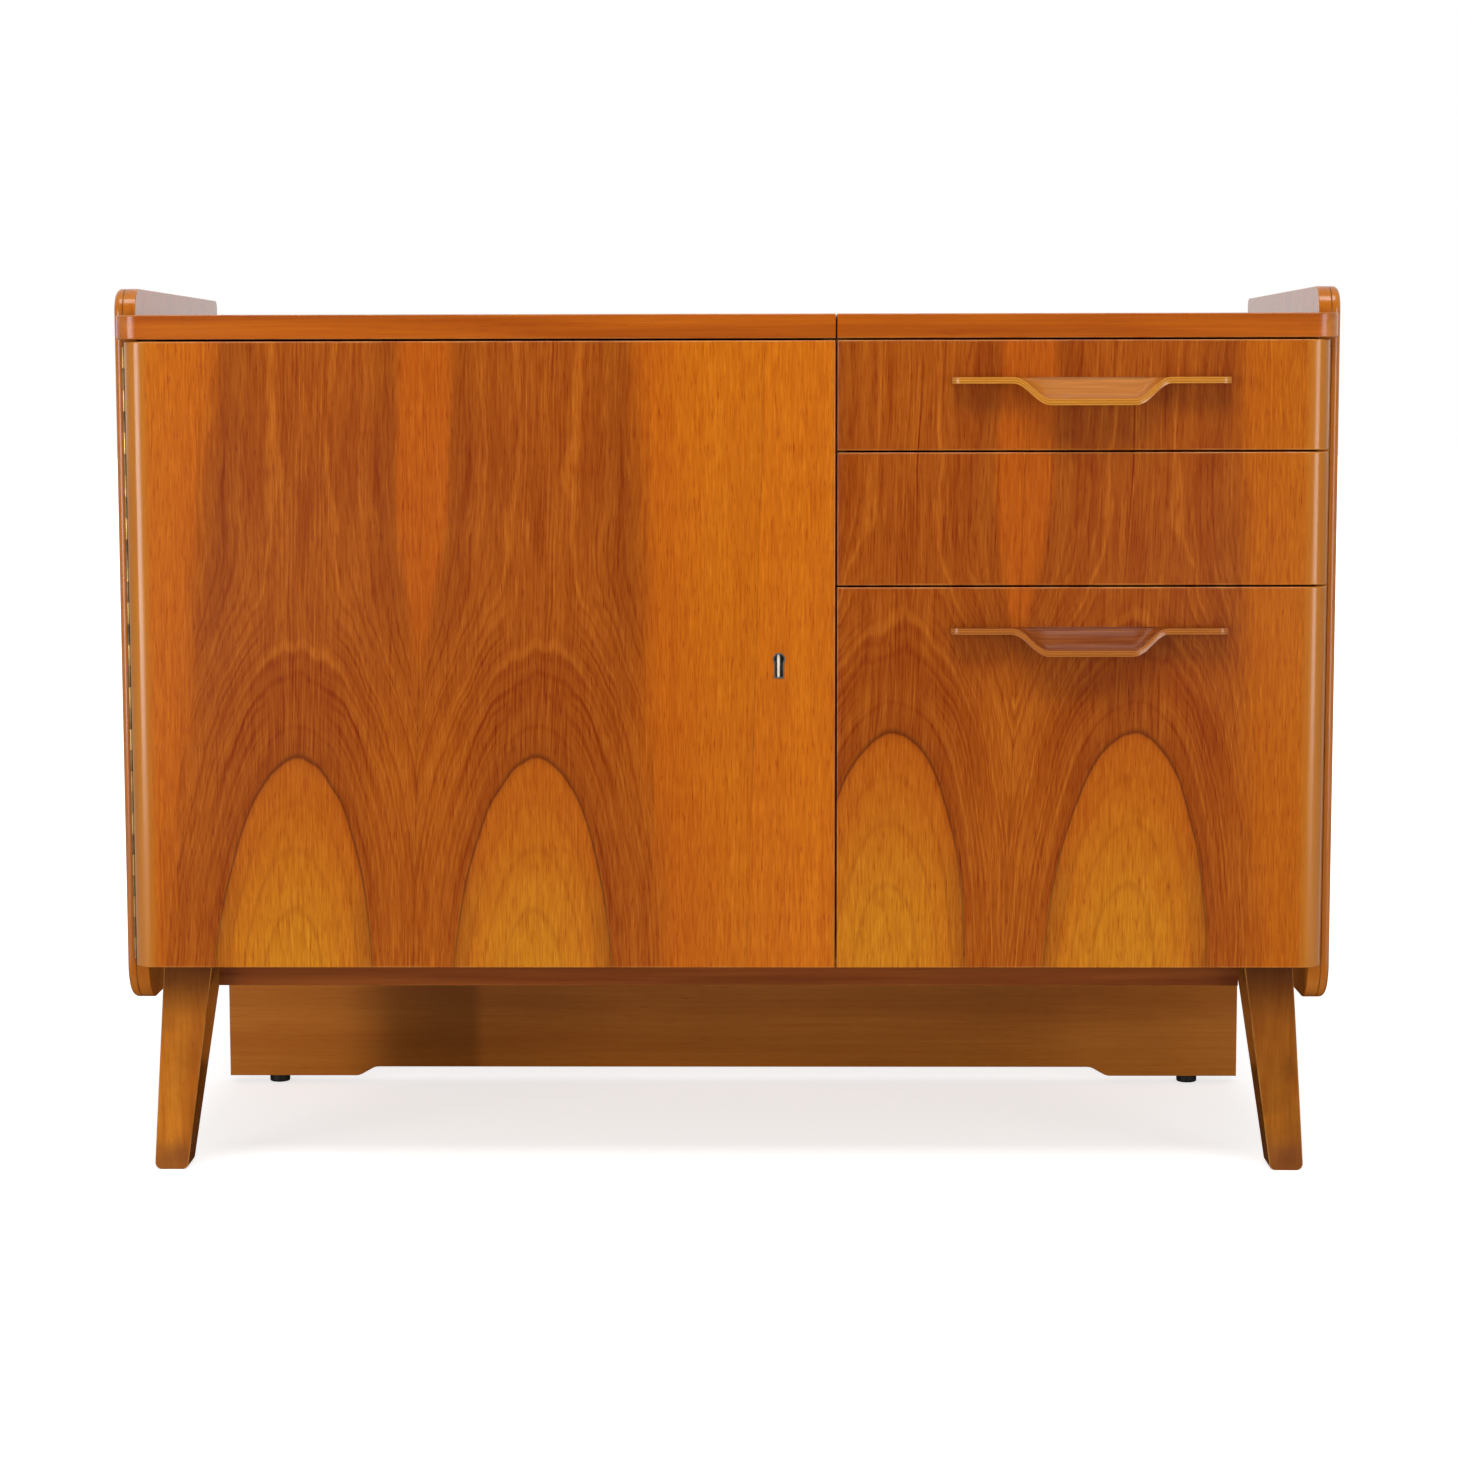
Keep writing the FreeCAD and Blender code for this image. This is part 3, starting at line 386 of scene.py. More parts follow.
class Graph:
    """Node tree of a material or a world, with short calls for what the finishes use."""

    def __init__(self, owner, shader_type):
        owner.use_nodes = True
        self.owner = owner
        self.tree = owner.node_tree
        self.shader = next(n for n in self.tree.nodes if n.type == shader_type)
        self.coordinates = self.tree.nodes.new("ShaderNodeTexCoord")

    def split(self, output):
        parts = self.tree.nodes.new("ShaderNodeSeparateXYZ")
        self.tree.links.new(self.coordinates.outputs[output], parts.inputs[0])
        return [Num(self, socket) for socket in parts.outputs]

    def feed(self, socket, value):
        if isinstance(value, Num):
            self.tree.links.new(value.socket, socket)
        else:
            socket.default_value = value

    def ray(self, kind):
        """1 for rays of a kind, such as Camera or Glossy."""
        node = self.tree.nodes.new("ShaderNodeLightPath")
        return Num(self, node.outputs["Is " + kind + " Ray"])

    def math(self, operation, *values):
        node = self.tree.nodes.new("ShaderNodeMath")
        node.operation = operation
        for socket, value in zip(node.inputs, values):
            self.feed(socket, value)
        return Num(self, node.outputs[0])

    def smooth(self, low, high, value):
        """0 at low and 1 at high, with an S-shaped change between them."""
        node = self.tree.nodes.new("ShaderNodeMapRange")
        node.interpolation_type = "SMOOTHSTEP"
        self.feed(node.inputs["Value"], value)
        self.feed(node.inputs["From Min"], low)
        self.feed(node.inputs["From Max"], high)
        return Num(self, node.outputs[0])

    def noise(self, x, y, z=0.0, detail=2.0):
        """Soft noise about zero, from -0.5 to 0.5."""
        place = self.tree.nodes.new("ShaderNodeCombineXYZ")
        for socket, value in zip(place.inputs, (x, y, z)):
            self.feed(socket, value)
        node = self.tree.nodes.new("ShaderNodeTexNoise")
        node.inputs["Scale"].default_value = 1.0
        node.inputs["Detail"].default_value = detail
        self.tree.links.new(place.outputs[0], node.inputs["Vector"])
        return Num(self, node.outputs["Fac"]) - 0.5

    def wander(self, across, along, size, seed, detail=2.0):
        """Noise in patches of a given width and length."""
        width, length = size
        return self.noise(across / width, along / length, seed, detail)

    def streaks(self, across, along, seed, layers):
        """Noise drawn out along the grain; each layer is (width, length, weight)."""
        total = 0.0
        for index, (width, length, weight) in enumerate(layers):
            total = total + weight * self.wander(across, along, (width, length), seed + index)
        return total

    def ramp(self, value, stops):
        """Colour along stops of (value, colour); the values rise."""
        first, last = stops[0][0], stops[-1][0]
        node = self.tree.nodes.new("ShaderNodeValToRGB")
        band = node.color_ramp
        while len(band.elements) < len(stops):
            band.elements.new(0.5)
        for element, (place, colour) in zip(band.elements, stops):
            element.position = (place - first) / (last - first)
            element.color = colour
        self.feed(node.inputs[0], (value - first) / (last - first))
        return Num(self, node.outputs[0])

    def mix(self, share, first, second):
        node = self.tree.nodes.new("ShaderNodeMix")
        node.data_type = "RGBA"
        self.feed(node.inputs[0], share)
        self.feed(node.inputs[6], first)
        self.feed(node.inputs[7], second)
        return Num(self, node.outputs[2])

    def shade(self, colour, level):
        node = self.tree.nodes.new("ShaderNodeVectorMath")
        node.operation = "SCALE"
        self.feed(node.inputs[0], colour if isinstance(colour, Num) else colour[:3])
        self.feed(node.inputs["Scale"], level)
        return Num(self, node.outputs[0])

    def stain(self, colour, change):
        """Lightens or darkens as lacquered wood does: its blue changes most and its red least."""
        levels = self.tree.nodes.new("ShaderNodeCombineXYZ")
        for socket, weight in zip(levels.inputs, STAIN_WEIGHTS):
            self.feed(socket, 1.0 + weight * change)
        node = self.tree.nodes.new("ShaderNodeVectorMath")
        node.operation = "MULTIPLY"
        self.feed(node.inputs[0], colour if isinstance(colour, Num) else colour[:3])
        self.tree.links.new(levels.outputs[0], node.inputs[1])
        return Num(self, node.outputs[0])


class Finish(Graph):
    """Graph of one material, with the place in the cabinet as x, y and z."""

    def __init__(self, name):
        super().__init__(bpy.data.materials.new(name), "BSDF_PRINCIPLED")
        self.x, self.y, self.z = (axis / MM for axis in self.split("Object"))

    def patches(self, size, seed=0.0, detail=2.0):
        """Noise in patches of a given size along each axis."""
        wide, deep, high = size
        return self.noise(self.x / wide, self.y / deep, self.z / high + seed, detail)

    def edges(self):
        """1 on rounded arrises, 0 on flats that face along an axis."""
        flat = 0.0
        for axis in self.split("Normal"):
            flat = self.math("MAXIMUM", abs(axis), flat)
        return self.smooth(*rounded_band, 1.0 - flat)

    def bump(self, height, strength, distance):
        node = self.tree.nodes.new("ShaderNodeBump")
        node.inputs["Strength"].default_value = strength
        node.inputs["Distance"].default_value = distance * MM
        self.feed(node.inputs["Height"], height)
        self.tree.links.new(node.outputs[0], self.shader.inputs["Normal"])

    def close(self, colour, roughness, **constants):
        """Feeds the shader; constants are set on its own sockets."""
        self.feed(self.shader.inputs["Base Color"], colour)
        self.feed(self.shader.inputs["Roughness"], roughness)
        for name, value in constants.items():
            self.shader.inputs[name.replace("_", " ")].default_value = value
        return self.owner


def lacquer(g, colour, roughness, height, finish=LACQUER, relief=lacquer_relief):
    g.bump(height, relief, grain_depth)
    return g.close(colour, roughness, **finish)


def straight_veneer(g, reach, level, seed):
    """Plain lighter part of a leaf: near-straight grain, redder next to the figured wood."""
    sway = g.x + plain_sway * g.wander(g.x, g.z, plain_sway_size, seed)
    tone = g.wander(sway, g.z, plain_band_size, seed + 1.0)
    line = g.streaks(sway, g.z, seed + 2.0, PLAIN_STREAKS)
    colour = g.mix(g.smooth(*tone_band, tone), *plain_tones)
    colour = g.mix(plain_red_share * g.smooth(*plain_red_band, reach), colour, plain_red)
    return g.shade(g.stain(colour, line), level)


def arch_rings(g, across, peak, seed):
    """Ring of growth at each place: cathedral arches below that pass into upright lines above."""
    rise = arch_slope * (g.z - peak) + arch_radius
    depth = g.math("SMOOTH_MIN", rise, arch_cap, arch_cap_blend)
    ring = g.math("SQRT", across * across + depth * depth)
    loose = g.smooth(*loose_rings, ring)
    wide = stray_wide * g.wander(across, g.z, stray_wide_size, seed)
    fine = stray_fine * g.wander(across, g.z, stray_fine_size, seed)
    sway = arch_sway * g.wander(across, g.z, arch_sway_size, seed + 1.0)
    return ring + sway + loose * (wide + fine)


def arch_marks(g, across, ring, peak):
    """Lightness of what marks the brown wood over an arch: dark caps, a pale arch and two pale lines."""
    rise = g.z - peak
    crest = g.smooth(*crest_band, abs(across)) * g.smooth(*crest_heights, rise)
    upper = g.smooth(*upper_heights, rise)
    change = 0.0
    for marks, where in ((CREST_MARKS, crest), (UPPER_MARKS, upper), (FLANK_MARKS, 1.0)):
        for place, half_width, weight in marks:
            mark = g.smooth(half_width, mark_core_share * half_width, abs(ring - place))
            change = change + weight * mark * where
    return change


def heart_grain(g, across, ring, seed):
    """Streaks that follow the arches' flanks and run upright over their crests."""
    flank = g.smooth(*flank_band, abs(across))
    along_arch = g.streaks(ring, g.z, seed + 5.0, ARCH_STREAKS)
    waver = across + upright_sway * g.wander(across, g.z, upright_sway_size, seed + 16.0)
    upright = g.streaks(waver, g.z, seed + 17.0, UPRIGHT_STREAKS)
    return upright + flank * (along_arch - upright)


def arch_inside(g, colour, ring, inside, rise):
    """Orange top and greyish foot of the wood inside an arch."""
    orange = g.smooth(*orange_rings, ring) * g.smooth(*orange_heights, rise)
    colour = g.mix(orange_share * orange, colour, orange_tone)
    greyish = g.smooth(*grey_rings, ring) * inside * g.smooth(*grey_heights, rise)
    return g.mix(grey_share * greyish, colour, grey_tone)


def brown_heart(g, off, middle, peak, seed):
    """Golden arches with a dark outline, in streaky brown wood."""
    across = off - middle
    ring = arch_rings(g, across, peak, seed)
    inside = g.smooth(*inside_rings, ring)
    outside = 1.0 - inside
    grain = heart_grain(g, across, ring, seed)
    vein = g.smooth(*vein_band, g.wander(across, g.z, vein_size, seed + 15.0))
    change = arch_marks(g, across, ring, peak) + grain - vein_depth * vein
    colour = arch_inside(g, g.ramp(ring, HEART_TONES), ring, inside, g.z - peak)
    colour = g.stain(colour, inside_grain_share * inside * grain + outside * change)
    by_seam = g.smooth(*lighter_seam_band, off)
    by_edge = lighter_outer_share * g.smooth(*lighter_outer_band, across)
    low_down = g.smooth(*lighter_heights, g.z) * outside
    lighter = lighter_share * g.math("MAXIMUM", by_seam, by_edge) * low_down
    return g.mix(lighter, colour, g.stain(lighter_tone, grain))


def figured_veneer(g, seam, lean, middle, peak, plain, seed):
    """Book-matched walnut: golden arches under brown heartwood, light straight grain beside it."""
    side = abs(g.x - lean * (g.z - lean_level) - seam)
    off = side + figure_sway * g.wander(side, g.z, figure_sway_size, seed + 4.0)
    heart = brown_heart(g, off, middle, peak, seed)
    ragged = ragged_depth * g.wander(side, g.z, ragged_size, seed + 9.0, detail=3.0)
    reach = off - middle - figure_reach - figure_flare * (figure_top_z - g.z)
    rim = g.smooth(*rim_band, reach) * g.smooth(*rim_heights, g.z)
    opening = g.smooth(wedge_foot_z, wedge_head_z, g.z)
    wedge = wedge_half * opening - side
    beside_wedge = g.smooth(*wedge_rim_band, wedge) * opening
    heart = g.shade(heart, 1.0 - rim_depth * g.math("MAXIMUM", rim, beside_wedge))
    straight = straight_veneer(g, reach, plain, seed)
    colour = g.mix(g.smooth(*figure_edge_band, reach + ragged), heart, straight)
    core = g.smooth(*wedge_band, wedge + wedge_ragged_share * ragged)
    core = core * g.smooth(wedge_foot_z, wedge_foot_z + wedge_start, g.z)
    fine = g.streaks(g.x, g.z, seed + 12.0, WEDGE_STREAKS)
    colour = g.mix(core, colour, g.stain(wedge_tone, fine))
    return g.shade(colour, 1.0 - seam_depth * g.smooth(*seam_band, side))


def fibres(g, across, along, seed):
    """Fine fibres and short dark pores, both drawn out along the grain."""
    fibre = g.streaks(across, along, seed, FIBRE_STREAKS)
    pore = g.smooth(*pore_band, g.wander(across, along, pore_size, seed + 7.0, detail=1.0))
    return fibre, pore


def plain_door_leaf(g, colour, lean):
    """Lighter plain leaf of the door, beyond a dark joint."""
    joint = g.x - door_joint_x - lean * (g.z - lean_level)
    beyond = door_leaf_gain * g.smooth(*door_leaf_band, joint)
    line = door_joint_depth * g.smooth(*door_joint_band, abs(joint))
    return g.shade(colour, 1.0 + beyond - line)


def front_material(name, node, figure, outer):
    """Lacquered veneer of a front, with solid lipping on its outer edge, a pale outermost line on it that
    is partly wear and partly painted reflection, and light worn arrises.
    """
    g = Finish(name)
    low, high = (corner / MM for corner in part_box(node))
    seed = figure["seed"]
    colour = figured_veneer(g, **figure)
    if outer < 0:
        colour = plain_door_leaf(g, colour, figure["lean"])
    fibre, pore = fibres(g, g.x, g.z, seed + 20.0)
    colour = g.stain(colour, fibre_weight * fibre - pore_depth * pore)
    from_edge = g.x - low.x if outer < 0 else high.x - g.x
    lip = g.stain(lipping_tone, g.streaks(g.x + g.y, g.z, seed + 30.0, LIPPING_STREAKS))
    colour = g.mix(g.smooth(*lipping_band, from_edge), colour, lip)
    # Pale line along the outermost edge: partly wear, partly a painted grazing reflection
    colour = g.mix(lipping_sheen_and_wear_share * g.smooth(*lipping_sheen_and_wear_band, from_edge), colour, lipping_sheen_and_wear)
    arris = g.smooth(*arris_band, g.math("MINIMUM", g.z - low.z, high.z - g.z))
    wear = g.smooth(*arris_patch_band, g.wander(g.x, g.z, arris_patch_size, seed)) * arris
    colour = g.mix(arris_share * wear, colour, arris_tone)
    cloud = g.wander(g.x, g.z, cloud_size, seed + 2.0)
    roughness = front_roughness + front_cloud_gain * cloud + front_pore_gain * pore
    return lacquer(g, colour, roughness, fibre - pore)


def plain_wood(name, axis, dark, light, seed, band=26.0, streak=2.6, contrast=0.6, wear=0.0, worn=None,
               roughness=0.22, finish=LACQUER, relief=lacquer_relief, tint=None):
    """Board with its grain along an axis: soft bands, streaks and pores between two tones."""
    g = Finish(name)
    along, first, second = {"X": (g.x, g.y, g.z), "Y": (g.y, g.x, g.z), "Z": (g.z, g.x, g.y)}[axis]
    sway = g.noise(along / board_sway_length, first / board_sway_width, seed + second / board_sway_width)
    first = first + board_sway * sway
    tone = g.noise(first / band, second / band, along / (band * band_stretch) + seed, detail=3.0)
    line = g.noise(first / streak, second / streak, along / (streak * streak_stretch) + seed)
    colour = g.mix(g.smooth(*tone_band, tone), dark, light)
    speck = g.noise(first / board_pore_width, second / board_pore_width, along / board_pore_length,
                    detail=1.0)
    pore = g.smooth(*board_pore_band, speck)
    colour = g.stain(colour, contrast * line - board_pore_depth * pore)
    if tint:
        colour = tint(g, colour)
    if wear:
        patch = g.smooth(*wear_patch_band, g.patches(wear_patch_size))
        colour = g.mix(wear * patch * g.edges(), colour, worn)
    roughness = roughness + relief * (board_pore_gain * pore + board_tone_gain * tone)
    return lacquer(g, colour, roughness, line - pore, finish, relief)


def scuffed_and_shaded_leg(g, colour):
    """Darker right leg, painted shade on the inner faces, blotches, a painted shadow at the top under the
    fronts and a dull reddish foot.
    """
    blotch = g.patches(leg_blotch_size, detail=4.0)
    right = leg_right_depth * g.smooth(*leg_right_band, g.x)
    colour = g.shade(colour, 1.0 + leg_blotch_gain * blotch - right)
    # Painted shade: the legs' inner faces are made darker than their fronts
    inward_shade = g.smooth(*leg_inner_shade_band, -1.0 * g.split("Normal")[0] * g.math("SIGN", g.x))
    colour = g.mix(leg_inner_shade_share * inward_shade, colour, leg_inner_shade_tone)
    # Painted shadow: the legs' tops darken where the fronts overhang them
    top = g.smooth(*leg_top_shadow_heights, g.z + leg_top_shadow_ragged * blotch)
    colour = g.mix(leg_top_shadow_share * top, colour, leg_top_shadow_tone)
    foot = g.smooth(*leg_foot_heights, g.z + leg_foot_ragged * blotch)
    return g.mix(leg_foot_share * foot, colour, leg_foot_tone)


def stained_base_with_painted_light(g, colour):
    """Cloudy stain along the plinth, with a painted pool of light at its front's left end and a painted
    shadow of the left leg beside that.
    """
    cloud = g.wander(g.x, g.z, base_cloud_size, base_cloud_seed, detail=4.0)
    # Painted shadow of the left leg
    patch = g.smooth(*base_leg_shadow_left, g.x) * g.smooth(*base_leg_shadow_right, g.x)
    # Painted light at the plinth's left end
    pale = g.smooth(*base_painted_light_band, g.x)
    in_front = g.smooth(*base_front_band, -1.0 * g.split("Normal")[1])
    stain = base_painted_light_gain * pale - base_leg_shadow_depth * patch
    return g.shade(colour, 1.0 + base_cloud_gain * cloud + in_front * stain)


def glued_side(g, colour):
    """Dark glue line between the two plies of a side."""
    line = g.smooth(*glue_band, abs(abs(g.x) - ply_line_x))
    return g.shade(colour, 1.0 - glue_depth * line)


def metal(name, light, dark, roughness, grime, seed, metallic=1.0):
    """Plated metal that has dulled in patches, with fine scratches."""
    g = Finish(name)
    patch = g.patches(metal_patch_size, seed, detail=4.0)
    scratch = g.patches(scratch_size, seed, detail=1.0)
    colour = g.mix(grime * g.smooth(*metal_patch_band, patch), light, dark)
    g.bump(scratch, scratch_relief, scratch_depth)
    roughness = roughness + metal_patch_gain * patch + scratch_gain * scratch
    return g.close(colour, roughness, Metallic=metallic)


def dull_plastic(name, colour):
    """Plastic with a fine grain."""
    g = Finish(name)
    speck = g.patches(speck_size, detail=3.0)
    g.bump(speck, speck_relief, speck_depth)
    colour = g.shade(colour, 1.0 + speck_shade_gain * speck)
    return g.close(colour, plastic_roughness + speck_roughness_gain * speck)


def dress(material, *names):
    """Gives CAD nodes a material in every slot they have."""
    for name in names:
        mesh = nodes[name].data
        if not mesh.materials:
            mesh.materials.append(material)
        for index in range(len(mesh.materials)):
            mesh.materials[index] = material


def by_slot(slot):
    return [part["node"] for part in frame["record"]["subparts"] if part["material_slot"] == slot]


def dress_fronts():
    dress(front_material("door_veneer", "door_panel", DOOR_FIGURE, -1), "door_panel")
    for name in ("top", "middle", "deep"):
        node = name + "_drawer_front"
        dress(front_material(name + "_drawer_veneer", node, DRAWER_FIGURE, 1), node)


def dress_outer_woods():
    worn = rgb(204, 134, 60)
    top = plain_wood("top_veneer", "X", rgb(160, 74, 10), rgb(184, 92, 12), 21.0,
                     band=14.0, wear=0.6, worn=worn)
    side = plain_wood("side_veneer", "Z", rgb(172, 90, 16), rgb(192, 108, 20), 31.0,
                      band=34.0, contrast=0.3, wear=0.3, worn=worn, relief=side_relief, tint=glued_side)
    leg = plain_wood("leg_wood", "Z", rgb(170, 92, 18), rgb(200, 120, 26), 41.0,
                     wear=0.6, worn=rgb(206, 140, 64), tint=scuffed_and_shaded_leg)
    base = plain_wood("base_veneer", "X", rgb(174, 100, 32), rgb(192, 116, 40), 51.0,
                      band=40.0, contrast=0.35, wear=0.5, worn=rgb(190, 122, 50), tint=stained_base_with_painted_light)
    # Rail: darker than the plinth as painted shade under the fronts
    rail = plain_wood("shaded_rail_wood", "X", rgb(124, 60, 18), rgb(150, 78, 24), 55.0,
                      band=18.0, wear=0.5, worn=rgb(170, 100, 42))
    dress(top, *by_slot("walnut_top"))
    dress(side, *by_slot("walnut_side"))
    dress(leg, *by_slot("walnut_leg"))
    dress(base, *by_slot("walnut_base"))
    dress(rail, "base_rail")


def dress_inner_woods():
    pale = dict(contrast=0.3, roughness=0.45, finish=SATIN)
    board = (rgb(176, 128, 76), rgb(198, 150, 94))
    boxwood = (rgb(196, 156, 104), rgb(216, 180, 128))
    runner = (rgb(180, 134, 84), rgb(200, 158, 104))
    back = plain_wood("back_board", "Z", rgb(112, 78, 46), rgb(130, 92, 56), 91.0,
                      band=8.0, streak=1.5, contrast=0.2, roughness=0.6, finish=SATIN)
    dress(plain_wood("inner_board", "X", *board, 61.0, **pale), *by_slot("inner_board"))
    dress(plain_wood("partition_wood", "Z", *board, 65.0, **pale), "partition")
    dress(plain_wood("cleat_wood", "Y", *board, 67.0, **pale), "lid_cleat")
    dress(plain_wood("drawer_wood", "Y", *boxwood, 71.0, **pale), *by_slot("drawer_wood"))
    dress(plain_wood("drawer_back_wood", "X", *boxwood, 75.0, **pale),
          "top_drawer_back", "middle_drawer_back", "deep_drawer_back")
    dress(plain_wood("runner_wood", "Y", *runner, 81.0, **pale), *by_slot("runner_wood"))
    dress(back, *by_slot("back_board"))


def dress_metals():
    hinge = metal("hinge_metal", rgb(188, 150, 92), rgb(120, 90, 54), 0.34, 0.7, 1.0)
    # Frame leaf darker and duller: its darkness is painted shade, so that its knuckles read as dark
    # recesses
    dull_shaded_hinge = metal("dull_shaded_hinge", rgb(150, 124, 84), rgb(92, 74, 46), 0.5, 0.8, 5.0)
    lock = metal("lock_steel", rgb(206, 204, 200), rgb(150, 144, 136), 0.36, 0.5, 2.0)
    nickel = metal("nickel", rgb(214, 212, 208), rgb(150, 144, 134), 0.4, 0.35, 3.0)
    fastener = metal("fastener_steel", rgb(196, 194, 188), rgb(138, 132, 120), 0.32, 0.5, 4.0)
    dress(hinge, *by_slot("hinge_metal"))
    dress(dull_shaded_hinge, "door_hinge_frame_leaf")
    dress(lock, *by_slot("lock_steel"))
    dress(nickel, *by_slot("nickel"))
    dress(fastener, *by_slot("fastener_steel"))
    dress(dull_plastic("glide_black", rgb(30, 29, 28)), *by_slot("glide_black"))


def handle_layer(g, middle_x, level, front):
    """Which ply of a handle a place lies in, counted from its lower face."""
    rest = 1.0 - (front - g.y) / handle_reach
    dip = handle_dip * (1.0 - rest * rest)
    run = (handle_bend_start - abs(g.x - middle_x)) / handle_bend_run
    run = g.math("MINIMUM", g.math("MAXIMUM", run, 0.0), 1.0)
    bend = 0.5 - 0.5 * g.math("COSINE", pi * run)
    return (g.z - level + dip * bend) / handle_thickness * handle_plies + handle_plies / 2


def handle_wood(name, middle_x, level, front, tones):
    """Bent plywood: a lacquered face veneer over plies that show along the edge."""
    g = Finish(name)
    face_tones, ply_tones = tones
    layer = handle_layer(g, middle_x, level, front)
    grain = g.patches(handle_grain_size, detail=3.0)
    face = g.mix(g.smooth(*tone_band, grain), *face_tones)
    odd = g.smooth(*handle_ply_band, g.math("FRACT", layer / 2.0))
    ply = g.shade(g.mix(odd, *ply_tones), 1.0 + handle_ply_gain * g.patches(handle_ply_size))
    inside = g.smooth(*handle_glue_band, g.math("PINGPONG", layer, 1.0))
    ply = g.mix(inside, handle_glue_tone, ply)
    outermost = g.smooth(*handle_face_band, abs(layer - handle_plies / 2))
    colour = g.mix(outermost, ply, face)
    return lacquer(g, colour, handle_roughness + handle_grain_gain * grain, grain)


def ease(share):
    """From 0 to 1 along half a wave."""
    return (1 - cos(pi * min(1.0, max(0.0, share)))) / 2


def handle_run(x):
    """Share of the way down a bend at a place along the strip."""
    return (handle_bend_start - abs(x)) / handle_bend_run


def handle_point(x, reach, level, front, offset):
    """Point of the strip's upper or lower face, at a place along it and a reach from the drawer."""
    dip = handle_dip * (1 - (1 - reach / handle_reach) ** 2)
    run = min(1.0, max(0.0, handle_run(x)))
    slope = dip * pi / 2 * sin(pi * run) / handle_bend_run
    slope = slope if x > 0 else -slope
    length = sqrt(1 + slope * slope)
    z = level - dip * ease(run) + offset / length
    return Vector((x - offset * slope / length, front - reach, z))


def handle_edge(x):
    """How far the strip reaches forward at a place along it."""
    reach = handle_wing_reach + (handle_reach - handle_wing_reach) * ease(handle_run(x))
    into_end = handle_half - abs(x)
    if into_end < handle_end_radius:
        short = handle_end_radius - into_end
        reach -= handle_end_radius - sqrt(max(0.0, handle_end_radius ** 2 - short ** 2))
    return reach


def handle_stations():
    """Places along the strip, closer together round its ends and bends."""
    wing_end = handle_half - handle_end_radius
    turns = [pi / 2 * step / handle_end_steps for step in range(handle_end_steps, -1, -1)]
    ends = [handle_half - handle_end_radius * (1 - sin(turn)) for turn in turns]
    wing_run = wing_end - handle_bend_start
    wing = [wing_end - wing_run * step / handle_wing_steps for step in range(1, handle_wing_steps)]
    bends = [1 - step / handle_bend_steps for step in range(handle_bend_steps + 1)]
    inner = [handle_trough / 2 + handle_bend_run * share for share in bends]
    shares = [1 - step / handle_trough_steps for step in range(1, handle_trough_steps + 1)]
    trough = [handle_trough / 2 * share for share in shares]
    right = sorted(set(round(x, 4) for x in ends + wing + inner + trough))
    return [-x for x in reversed(right) if x > 0] + right


def link_piece(name, mesh, material):
    """Smooth-shaded object made from a finished mesh."""
    data = bpy.data.meshes.new(name)
    mesh.to_mesh(data)
    mesh.free()
    data.shade_smooth()
    data.materials.append(material)
    piece = bpy.data.objects.new(name, data)
    bpy.context.scene.collection.objects.link(piece)
    return piece


def sharp_edges(mesh):
    return [edge for edge in mesh.edges if edge.calc_face_angle(0.0) > sharp_angle]


def handle_grid(mesh, middle_x, level, front, offset):
    """Vertices of the strip's upper or lower face, station by station."""
    grid = []
    for x in handle_stations():
        reaches = [handle_edge(x) * row / handle_rows for row in range(handle_rows + 1)]
        line = [handle_point(x, reach, level, front, offset) for reach in reaches]
        grid.append([mesh.verts.new((p + Vector((middle_x, 0, 0))) * MM) for p in line])
    return grid


def build_handle(name, node, body, tones):
    """Bevelled mesh of a handle in the place of its node."""
    low, high = (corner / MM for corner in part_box(node))
    front, level = high.y, high.z - handle_thickness / 2
    middle_x = (low.x + high.x) / 2
    mesh = bmesh.new()
    upper = handle_grid(mesh, middle_x, level, front, handle_thickness / 2)
    lower = handle_grid(mesh, middle_x, level, front, -handle_thickness / 2)
    skin_handle(mesh, upper, lower)
    bmesh.ops.recalc_face_normals(mesh, faces=mesh.faces)
    rear = front * MM - 1e-6
    seen = [edge for edge in sharp_edges(mesh) if min(v.co.y for v in edge.verts) < rear]
    bmesh.ops.bevel(mesh, geom=seen, offset=handle_edge_round * MM, segments=handle_round_steps,
                    profile=0.5, affect="EDGES", clamp_overlap=True)
    piece = link_piece(name, mesh, handle_wood(name + "_ply", middle_x, level, front, tones))
    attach(piece, body)
    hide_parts(node)


def skin_handle(mesh, upper, lower):
    """Faces over the upper and lower grids, and walls all round between them."""
    columns, rows = len(upper), len(upper[0])
    for i in range(columns - 1):
        for j in range(rows - 1):
            mesh.faces.new((upper[i][j], upper[i + 1][j], upper[i + 1][j + 1], upper[i][j + 1]))
            mesh.faces.new((lower[i][j], lower[i][j + 1], lower[i + 1][j + 1], lower[i + 1][j]))
        for j in (0, rows - 1):
            mesh.faces.new((upper[i][j], upper[i + 1][j], lower[i + 1][j], lower[i][j]))
    for i in (0, columns - 1):
        for j in range(rows - 1):
            mesh.faces.new((upper[i][j], upper[i][j + 1], lower[i][j + 1], lower[i][j]))


def add_handles():
    """Each handle's tones are those of its face veneer and of its plies."""
    golden = ((rgb(178, 106, 36), rgb(192, 120, 46)), (rgb(202, 136, 44), rgb(186, 114, 32)))
    reddish = ((rgb(120, 56, 18), rgb(142, 74, 28)), (rgb(178, 106, 38), rgb(160, 88, 28)))
    build_handle("top_handle", "top_drawer_handle", "top_drawer", golden)
    build_handle("deep_handle", "deep_drawer_handle", "deep_drawer", reddish)


